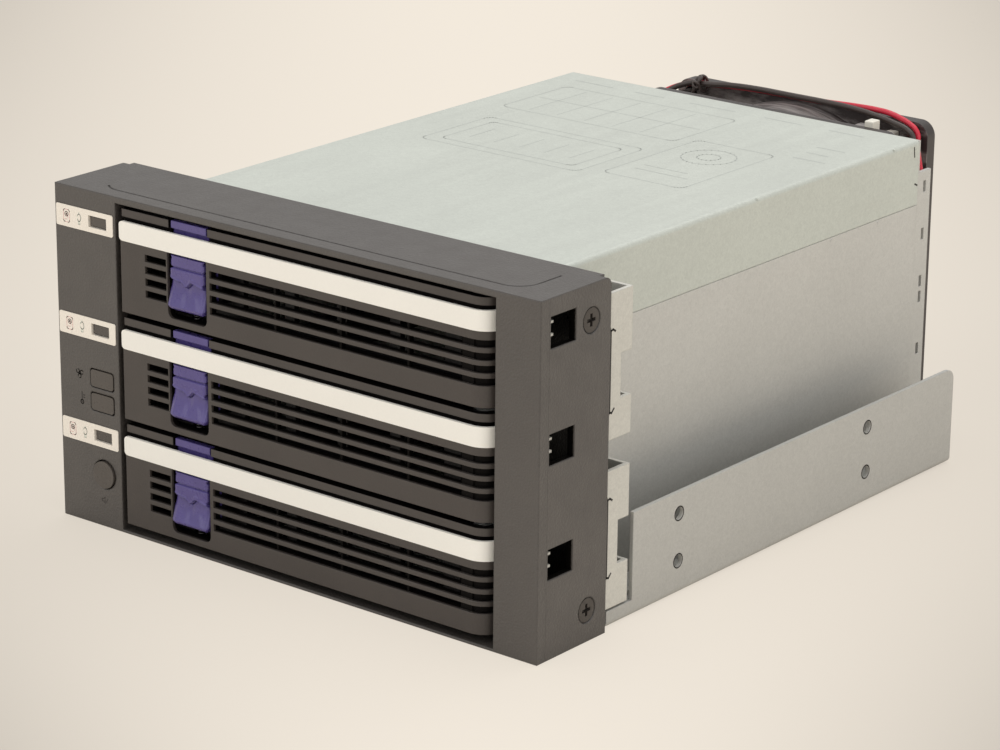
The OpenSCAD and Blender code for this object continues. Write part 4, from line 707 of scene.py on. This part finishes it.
LEAD_D = 0.0015
RED_ROUTE = ((48.1, 187.5, 60.5), (49.4, 187.5, 60.5), (51.3, 187.6, 62.3), (51.9, 187.9, 66),
             (50.9, 188.5, 71), (49.6, 189.2, 75), (48.7, 189.9, 77.5), (48.5, 190.5, 79.3),
             (47.3, 191, 80.9), (45.6, 191.3, 81.8), (42.8, 191.5, 82.8), (39, 191.6, 83.7),
             (35.4, 191.6, 83.95), (29.5, 191.6, 83.9), (18, 191.6, 83.4), (7, 191.6, 83.3),
             (-4, 191.5, 83.2), (-13, 191.2, 82.8), (-19, 190.95, 82.3), (-22, 190.95, 82.2),
             (-24.4, 190.4, 81.8), (-27.4, 189.1, 80.9), (-30.4, 187, 79.3), (-33.5, 184, 77),
             (-35.2, 180.4, 75.2), (-35.82, 177, 74), (-35.82, 174.5, 74))
BLACK_ROUTE = ((48.1, 185.3, 60.5), (49.4, 185.3, 60.5), (51.3, 185.4, 62.3), (51.9, 185.7, 66),
               (50.9, 186.3, 71), (49.6, 187, 75), (48.7, 187.6, 77.5), (48.5, 188.1, 79.5),
               (46.8, 188.4, 80.95), (42.2, 188.8, 82.15), (35.2, 189.2, 83.25), (27.8, 189.6, 83.8),
               (20, 189.8, 83.95), (9, 189.85, 83.95), (-2, 189.85, 83.95), (-10.6, 189.6, 83.6),
               (-16, 189.35, 83), (-19, 189.25, 82.72), (-22, 189.2, 82.6), (-24.4, 188.7, 82),
               (-26.9, 187.4, 81), (-29.2, 185.7, 79.3), (-31.4, 182.9, 77.3), (-32.8, 179.8, 75.2),
               (-33.28, 176.8, 74), (-33.28, 174.5, 74))


def make_lead(node, route):
    curve = bpy.data.curves.new(node + "_wire", "CURVE")
    curve.dimensions, curve.resolution_u = "3D", 8
    curve.bevel_depth, curve.bevel_resolution, curve.use_fill_caps = LEAD_D / 2, 4, True
    spline = curve.splines.new("BEZIER")
    spline.bezier_points.add(len(route) - 1)
    for point, place in zip(spline.bezier_points, route):
        point.co = at(*place)
        point.handle_left_type = point.handle_right_type = "AUTO"
    piece = new_piece(node + "_wire", curve, slot_of_node[node], body_of_node[node])
    bpy.context.view_layer.update()
    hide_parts(node)


TIE_X, TIE_Y, TIE_Z = -20.5, 190.1, 82.45
TIE_HALF_Y, TIE_HALF_Z, TIE_STEPS, KNOT_STEPS = 2.05, 1.95, 28, 6
TIE_TURN_R, TIE_KNOT_R = 0.00042, 0.00045
TIE_TURNS = ((-0.9, 0.63, 0.0), (0.7, -0.54, 0.12))     # shift to the side, lean, growth
TIE_KNOTS = (((-0.9, -2.2, 0.2), (-0.2, -2.75, 0.9), (0.6, -2.6, 0.5), (0.7, -2.2, -0.3), (0.1, -2.6, -0.7),
              (-0.6, -2.7, -0.2), (-0.8, -2.3, 0.7)),
             ((-0.6, -2.3, -0.3), (-0.5, -2.6, -1.3), (-0.9, -2.5, -2.2), (-1.0, -2.3, -2.9)),
             ((0.5, -2.3, 0.4), (0.8, -2.1, 1.3), (0.9, -1.4, 1.9), (0.4, -0.8, 2.25)))


def make_tie():
    """A twisted tie: two slanting turns round both leads, the knot before them and its two short ends."""
    bm = bmesh.new()
    for shift, lean, grow in TIE_TURNS:
        turns = [2 * math.pi * i / TIE_STEPS for i in range(TIE_STEPS)]
        ring = [at(TIE_X + shift + lean * math.sin(t), TIE_Y + (TIE_HALF_Y + grow) * math.cos(t),
                   TIE_Z + (TIE_HALF_Z + grow) * math.sin(t)) for t in turns]
        add_tube(bm, ring, TIE_TURN_R, closed=True)
    for path in TIE_KNOTS:
        points = smooth_path([at(TIE_X + x, TIE_Y + y, TIE_Z + z) for x, y, z in path], KNOT_STEPS)
        add_tube(bm, points, TIE_KNOT_R)
    tie = from_bmesh("lead_tie_knot", bm, "tie_black", body_of_node["lead_tie"])
    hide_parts("lead_tie")
    return tie


# Printed marks: thin strokes that lie LIFT above a face

LIFT = 0.02


def front_face(y):
    return lambda u, v: at(u, y - LIFT, v)


def side_face(x):
    """A face that looks right where x is over 0 and left where it is under 0."""
    return lambda u, v: at(x + math.copysign(LIFT, x), u, v)


def top_face(z):
    return lambda u, v: at(u, v, z + LIFT)


def printed(name, strokes, width, place, slot, body):
    """Strokes are lists of points on a face, and place turns such a point into one in space."""
    bm = bmesh.new()
    for stroke in strokes:
        for (u0, v0), (u1, v1) in zip(stroke, stroke[1:]):
            length = math.hypot(u1 - u0, v1 - v0)
            du, dv = (u1 - u0) / length * width / 2, (v1 - v0) / length * width / 2
            corners = ((u0 - du - dv, v0 - dv + du), (u0 - du + dv, v0 - dv - du),
                       (u1 + du + dv, v1 + dv - du), (u1 + du - dv, v1 + dv + du))
            bm.faces.new([bm.verts.new(place(u, v)) for u, v in corners])
    return from_bmesh(name, bm, slot, body, smooth=False, outward=False)


def oval(u, v, ru, rv, a0=0, a1=360, steps=16):
    return [(u + ru * math.cos(math.radians(a0 + (a1 - a0) * i / steps)),
             v + rv * math.sin(math.radians(a0 + (a1 - a0) * i / steps))) for i in range(steps + 1)]


def rounded(u, v, half_u, half_v, r):
    out = []
    for cu, cv, a0 in ((1, 1, 0), (-1, 1, 90), (-1, -1, 180), (1, -1, 270)):
        out += oval(u + cu * (half_u - r), v + cv * (half_v - r), r, r, a0, a0 + 90, 4)
    return out + out[:1]


def moved(strokes, u, v):
    return [[(u + du, v + dv) for du, dv in stroke] for stroke in strokes]


BEZEL_LEFT = -74.25
DRIVE_MARK_X, POWER_MARK_X = BEZEL_LEFT + 3.9, BEZEL_LEFT + 8.1
DRIVE_MARK = [rounded(0, 0, 1.0, 1.55, 0.45), oval(0, 0.45, 0.55, 0.55), oval(0, 0.45, 0.15, 0.15),
              [(-0.55, -0.85), (0.1, -0.85)], [(0.45, -0.4), (0.1, 0.2)]]
POWER_MARK = [oval(0, 0.2, 0.6, 0.9, 200, 520), [(-0.25, -0.6), (-0.25, -1.4), (0.25, -1.4), (0.25, -0.6)],
              [(0, 1.1), (0, 1.5)]]
FAN_MARK = [oval(0.75 * math.cos(t), 0.75 * math.sin(t), 0.5, 0.5, math.degrees(t), math.degrees(t) + 300, 10)
            for t in (0.4, 2.5, 4.6)] + [oval(0, 0, 0.22, 0.22, steps=8)]
HEAT_MARK = [oval(0, -0.9, 0.5, 0.5, steps=10), [(0, -0.4), (0, 1.6)], [(-0.05, -0.9), (0.05, -0.9)],
             [(0.5, 0.9), (0.9, 0.9)], [(0.5, 0.3), (0.9, 0.3)]]
MUTE_MARK = [[(-0.9, -0.3), (-0.4, -0.3), (0.1, -0.8), (0.1, 0.8), (-0.4, 0.3), (-0.9, 0.3), (-0.9, -0.3)],
             [(0.5, -0.5), (1.1, 0.5)]]
BEZEL_MARKS = (("fan_mark", FAN_MARK, 6.6, 38.0, 0.24), ("heat_mark", HEAT_MARK, 7.2, 31.7, 0.26),
               ("mute_mark", MUTE_MARK, 14.0, 6.8, 0.16))


def make_prints():
    for k in TRAYS:
        low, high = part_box(f"status_plate_{k}")
        z = (low.z + high.z) / 2 / MM
        face = front_face(low.y / MM - FACE_Y)
        printed(f"drive_mark_{k}", moved(DRIVE_MARK, DRIVE_MARK_X, z), 0.2, face, "print_red", "cage")
        printed(f"power_mark_{k}", moved(POWER_MARK, POWER_MARK_X, z), 0.18, face, "print_green", "cage")
    for name, mark, x, z, width in BEZEL_MARKS:
        printed(name, moved(mark, BEZEL_LEFT + x, z), width, front_face(0), "dark_print_and_shade", "cage")


# Faint lines printed on the cover, which show no real layout

COVER_TOP, COVER_LINE_WIDTH, COVER_DASH_WIDTH = 83.2, 0.3, 0.55
COVER_LINES = [rounded(-14, 108, 25, 14, 2), rounded(-14, 108, 21, 10.5, 1.5), rounded(28, 118, 12, 20, 2),
               rounded(-16, 147, 28, 14, 2), [(-42, 147), (10, 147)], oval(28, 126, 7, 7, steps=24),
               oval(28, 126, 3, 3, steps=16), [(20, 106), (36, 106)], [(20, 110), (33, 110)]]
COVER_LINES += [[(-36 + 9 * i, 135), (-36 + 9 * i, 159)] for i in range(5)]
COVER_LINES += [[(-30 + 8 * i, 103), (-30 + 8 * i, 113)] for i in range(5)]
COVER_DASHES = [[(u, v), (u + length, v)]
                for u, v, length in ((44, 140, 9), (44, 146, 6), (43, 152, 8), (-46, 168, 12), (-26, 168, 9),
                                     (-8, 168, 14), (16, 168, 11), (36, 168, 10))]


def make_cover_lines():
    printed("cover_lines", COVER_LINES, COVER_LINE_WIDTH, top_face(COVER_TOP), "print_pale", "cage")
    printed("cover_marks", COVER_DASHES, COVER_DASH_WIDTH, top_face(COVER_TOP), "print_pale", "cage")


# Small marks of the sheet metal, some painted shade in slits and round holes, and the holder beside the lead
# clip

SKIRT_X, EAR_X = 58.75, 73.05
WALL_PIPS, WALL_PIP_R, PIP_HEIGHT = ((135.8, 65.4), (156.9, 65.4)), 0.00035, 0.0002
COVER_PIPS, COVER_PIP_R = (103.3, 163.4), 0.0004
COVER_EDGE_X, COVER_EDGE_Z, COVER_EDGE_OUT = SKIRT_X - 0.2, 82.9, (0.8, 0, 0.6)
# Painted shade: dark strokes stand for the shade in slits of the ears and the skirt, and in a ring round each
# flange hole
EAR_SLIT_Y, EAR_BEND_Y, EAR_TIP_Y, EAR_BEND = 26.75, 27.5, 28.3, 0.2
EAR_SLIT_SHADES = (("ear_slit_shade_high", 52.0, 71.6), ("ear_slit_shade_low", 12.3, 31.5))
SKIRT_SLIT_SHADES = ([(172.6, 81.6), (172.9, 79.2)], [(173.6, 71.9), (174.6, 71.4)])
EAR_SLIT_WIDTH, SKIRT_SLIT_WIDTH, RIM_WIDTH = 0.5, 0.45, 0.3
HOLE_YS, HOLE_ZS, RIM_R = (54.5, 133.75), (8.4, 20.2), 1.72
HOLDER_LOW, HOLDER_HIGH, HOLDER_EDGE = (35.5, 180.0, 78.2), (38.5, 183.2, 82.4), 0.0003


def add_dome(bm, middle, across, outward, height, around=12):
    """Adds a low round dimple on a face."""
    side = outward.orthogonal().normalized()
    up = outward.cross(side)
    rings = []
    for r, h in ((1.0, 0.0), (0.8, 0.55), (0.45, 0.9)):
        level = middle + outward * height * h
        rings.append([bm.verts.new(level + across * r * (math.cos(t) * side + math.sin(t) * up))
                      for t in (2 * math.pi * k / around for k in range(around))])
    join_rings(bm, rings)
    tip = bm.verts.new(middle + outward * height)
    for k in range(around):
        bm.faces.new((rings[-1][k], rings[-1][(k + 1) % around], tip))


def make_sheet_marks():
    bm = bmesh.new()
    for y, z in WALL_PIPS:
        add_dome(bm, at(SKIRT_X, y, z), WALL_PIP_R, Vector(RIGHT), PIP_HEIGHT)
    from_bmesh("wall_pips", bm, "side_steel", "cage")
    bm = bmesh.new()
    for y in COVER_PIPS:
        add_dome(bm, at(COVER_EDGE_X, y, COVER_EDGE_Z), COVER_PIP_R, Vector(COVER_EDGE_OUT), PIP_HEIGHT)
    from_bmesh("cover_pips", bm, "case_steel", "cage")
    # painted shade: a dark stroke along the slits of each ear
    for name, low_z, high_z in EAR_SLIT_SHADES:
        slit = [(EAR_TIP_Y, low_z + 0.8), (EAR_BEND_Y, low_z), (EAR_SLIT_Y, low_z + EAR_BEND),
                (EAR_SLIT_Y, high_z - EAR_BEND), (EAR_BEND_Y, high_z), (EAR_TIP_Y, high_z - 0.5)]
        printed(name, [slit], EAR_SLIT_WIDTH, side_face(EAR_X), "dark_print_and_shade", "cage")
    # painted shade: a dark ring round each flange hole
    rim_shades = [oval(y, z, RIM_R, RIM_R, steps=28) for y in HOLE_YS for z in HOLE_ZS]
    for name, x in (("right", EAR_X), ("left", -EAR_X)):
        printed(f"hole_rim_shades_{name}", rim_shades, RIM_WIDTH, side_face(x), "dark_print_and_shade", "cage")
    # painted shade: dark strokes in small slits of the skirt
    printed("skirt_slit_shades", SKIRT_SLIT_SHADES, SKIRT_SLIT_WIDTH, side_face(SKIRT_X), "dark_print_and_shade", "cage")


def make_clip_holder():
    bm = bmesh.new()
    add_box(bm, at(*HOLDER_LOW), at(*HOLDER_HIGH))
    round_edges(from_bmesh("clip_holder", bm, "fan_black", "cage"), HOLDER_EDGE, segments=3)


# Lamps and floor

WORLD_LIGHT, WORLD_COLOR = 0.62, (1.0, 0.985, 0.96, 1.0)
LAMPS = (("top_lamp", 1.2, 200, 72), ("front_lamp", 0.46, -20, 30), ("side_lamp", 0.48, 80, 35))
SUN_SIZE = math.radians(50)
FLOOR_COLOR, FLOOR_ROUGH, FLOOR_SPECULAR = rgb(240, 231, 218), 0.8, 0.1
FLOOR_REACH, FLOOR_SIDES, FLOOR_GAP = 8.0, 64, 0.0002
FLOOR_SHADOW_SHARE = 0.22
EDGE_FALL, CORNER_FALL, CORNER_LIMIT, FADE_FROM, FADE_TO = 0.13, 0.14, 1.5, 1.3, 9.0
HALF_WIDTH, HALF_HEIGHT = SENSOR_WIDTH / 2 / CAMERA_LENS, SENSOR_HEIGHT / 2 / CAMERA_LENS


def sun(name, power, azimuth, elevation):
    """A soft sun that shines from an azimuth and an elevation."""
    lamp = bpy.data.objects.new(name, bpy.data.lights.new(name, "SUN"))
    bpy.context.scene.collection.objects.link(lamp)
    lamp.data.energy, lamp.data.angle = power, SUN_SIZE
    lamp.rotation_mode = "QUATERNION"
    lamp.rotation_quaternion = (-toward(azimuth, elevation)).to_track_quat("-Z", "Y")


def seen_share(tree):
    """1 for rays from the camera or through clear pieces, 0 for light."""
    path = tree.nodes.new("ShaderNodeLightPath")
    either = tree.nodes.new("ShaderNodeMath")
    either.operation, either.use_clamp = "ADD", True
    tree.links.new(path.outputs["Is Camera Ray"], either.inputs[0])
    tree.links.new(path.outputs["Is Transmission Ray"], either.inputs[1])
    return either.outputs[0]


def mixed(tree, share, one, two):
    mix = tree.nodes.new("ShaderNodeMixShader")
    tree.links.new(share, mix.inputs[0])
    tree.links.new(one.outputs[0], mix.inputs[1])
    tree.links.new(two.outputs[0], mix.inputs[2])
    return mix


# Painted shade on the floor: its tone falls towards the edges and corners of the main camera's view
def floor_finish():
    """Paper that darkens towards the corners of the photograph, as its floor does, and holds a weak shadow.
    The tones are worked out from CAMERA_PLACE and fade beside its view, so other views show soft bands."""
    n = Nodes("floor")
    ahead = n.along(VIEW_AHEAD, CAMERA_PLACE)
    across = n.math("DIVIDE", n.along(VIEW_RIGHT / HALF_WIDTH, CAMERA_PLACE), ahead)
    up = n.math("DIVIDE", n.along(VIEW_UP / HALF_HEIGHT, CAMERA_PLACE), ahead)
    across2, up2 = n.times(across, across), n.times(up, up)
    # painted shade: the tone falls towards the edges and corners of the main camera's view
    fall = n.math("ADD", EDGE_FALL, n.times(CORNER_FALL, n.math("MINIMUM", up2, CORNER_LIMIT)))
    fade = n.remap(across2, FADE_FROM, FADE_TO, FADE_FROM, 0.0)
    light = n.math("SUBTRACT", 1.0, n.times(n.math("MINIMUM", across2, fade), fall))
    color = n.tint(FLOOR_COLOR, light)
    n.shade(Base_Color=color, Roughness=FLOOR_ROUGH, Specular_IOR_Level=FLOOR_SPECULAR)
    glow = n.add("Emission", Color=color)
    share = n.times(seen_share(n.tree), 1 - FLOOR_SHADOW_SHARE)
    out = n.tree.nodes["Material Output"]
    n.join(mixed(n.tree, share, n.shader, glow).outputs[0], out.inputs["Surface"])
    return n.material


def make_studio():
    world = bpy.data.worlds.new("studio")
    bpy.context.scene.world = world
    world.use_nodes = True
    tree = world.node_tree
    tree.nodes.clear()
    backgrounds = []
    for color, strength in ((WORLD_COLOR, WORLD_LIGHT), (FLOOR_COLOR, 1.0)):
        background = tree.nodes.new("ShaderNodeBackground")
        background.inputs["Color"].default_value = color
        background.inputs["Strength"].default_value = strength
        backgrounds.append(background)
    out = tree.nodes.new("ShaderNodeOutputWorld")
    tree.links.new(mixed(tree, seen_share(tree), *backgrounds).outputs[0], out.inputs["Surface"])
    for lamp in LAMPS:
        sun(*lamp)

    bm = bmesh.new()
    bmesh.ops.create_circle(bm, cap_ends=True, segments=FLOOR_SIDES, radius=FLOOR_REACH)
    mesh = bpy.data.meshes.new("floor")
    bm.to_mesh(mesh)
    bm.free()
    floor = bpy.data.objects.new("floor", mesh)
    bpy.context.scene.collection.objects.link(floor)
    floor.location.z = cad_low.z - FLOOR_GAP
    mesh.materials.append(floor_finish())


make_camera()
tie = make_tie()
make_lead("lead_red", RED_ROUTE)
make_lead("lead_black", BLACK_ROUTE)
make_studio()
for node, obj in nodes.items():
    obj.data.materials.clear()
    obj.data.materials.append(finish(slot_of_node[node]))
for node, width in SOFT_NODES.items():
    softened(node, width)
for k in TRAYS:
    make_latch(k)
    make_spring(k)
make_rotor()
make_prints()
make_cover_lines()
make_sheet_marks()
make_clip_holder()

bpy.context.scene.view_settings.view_transform = "Standard"
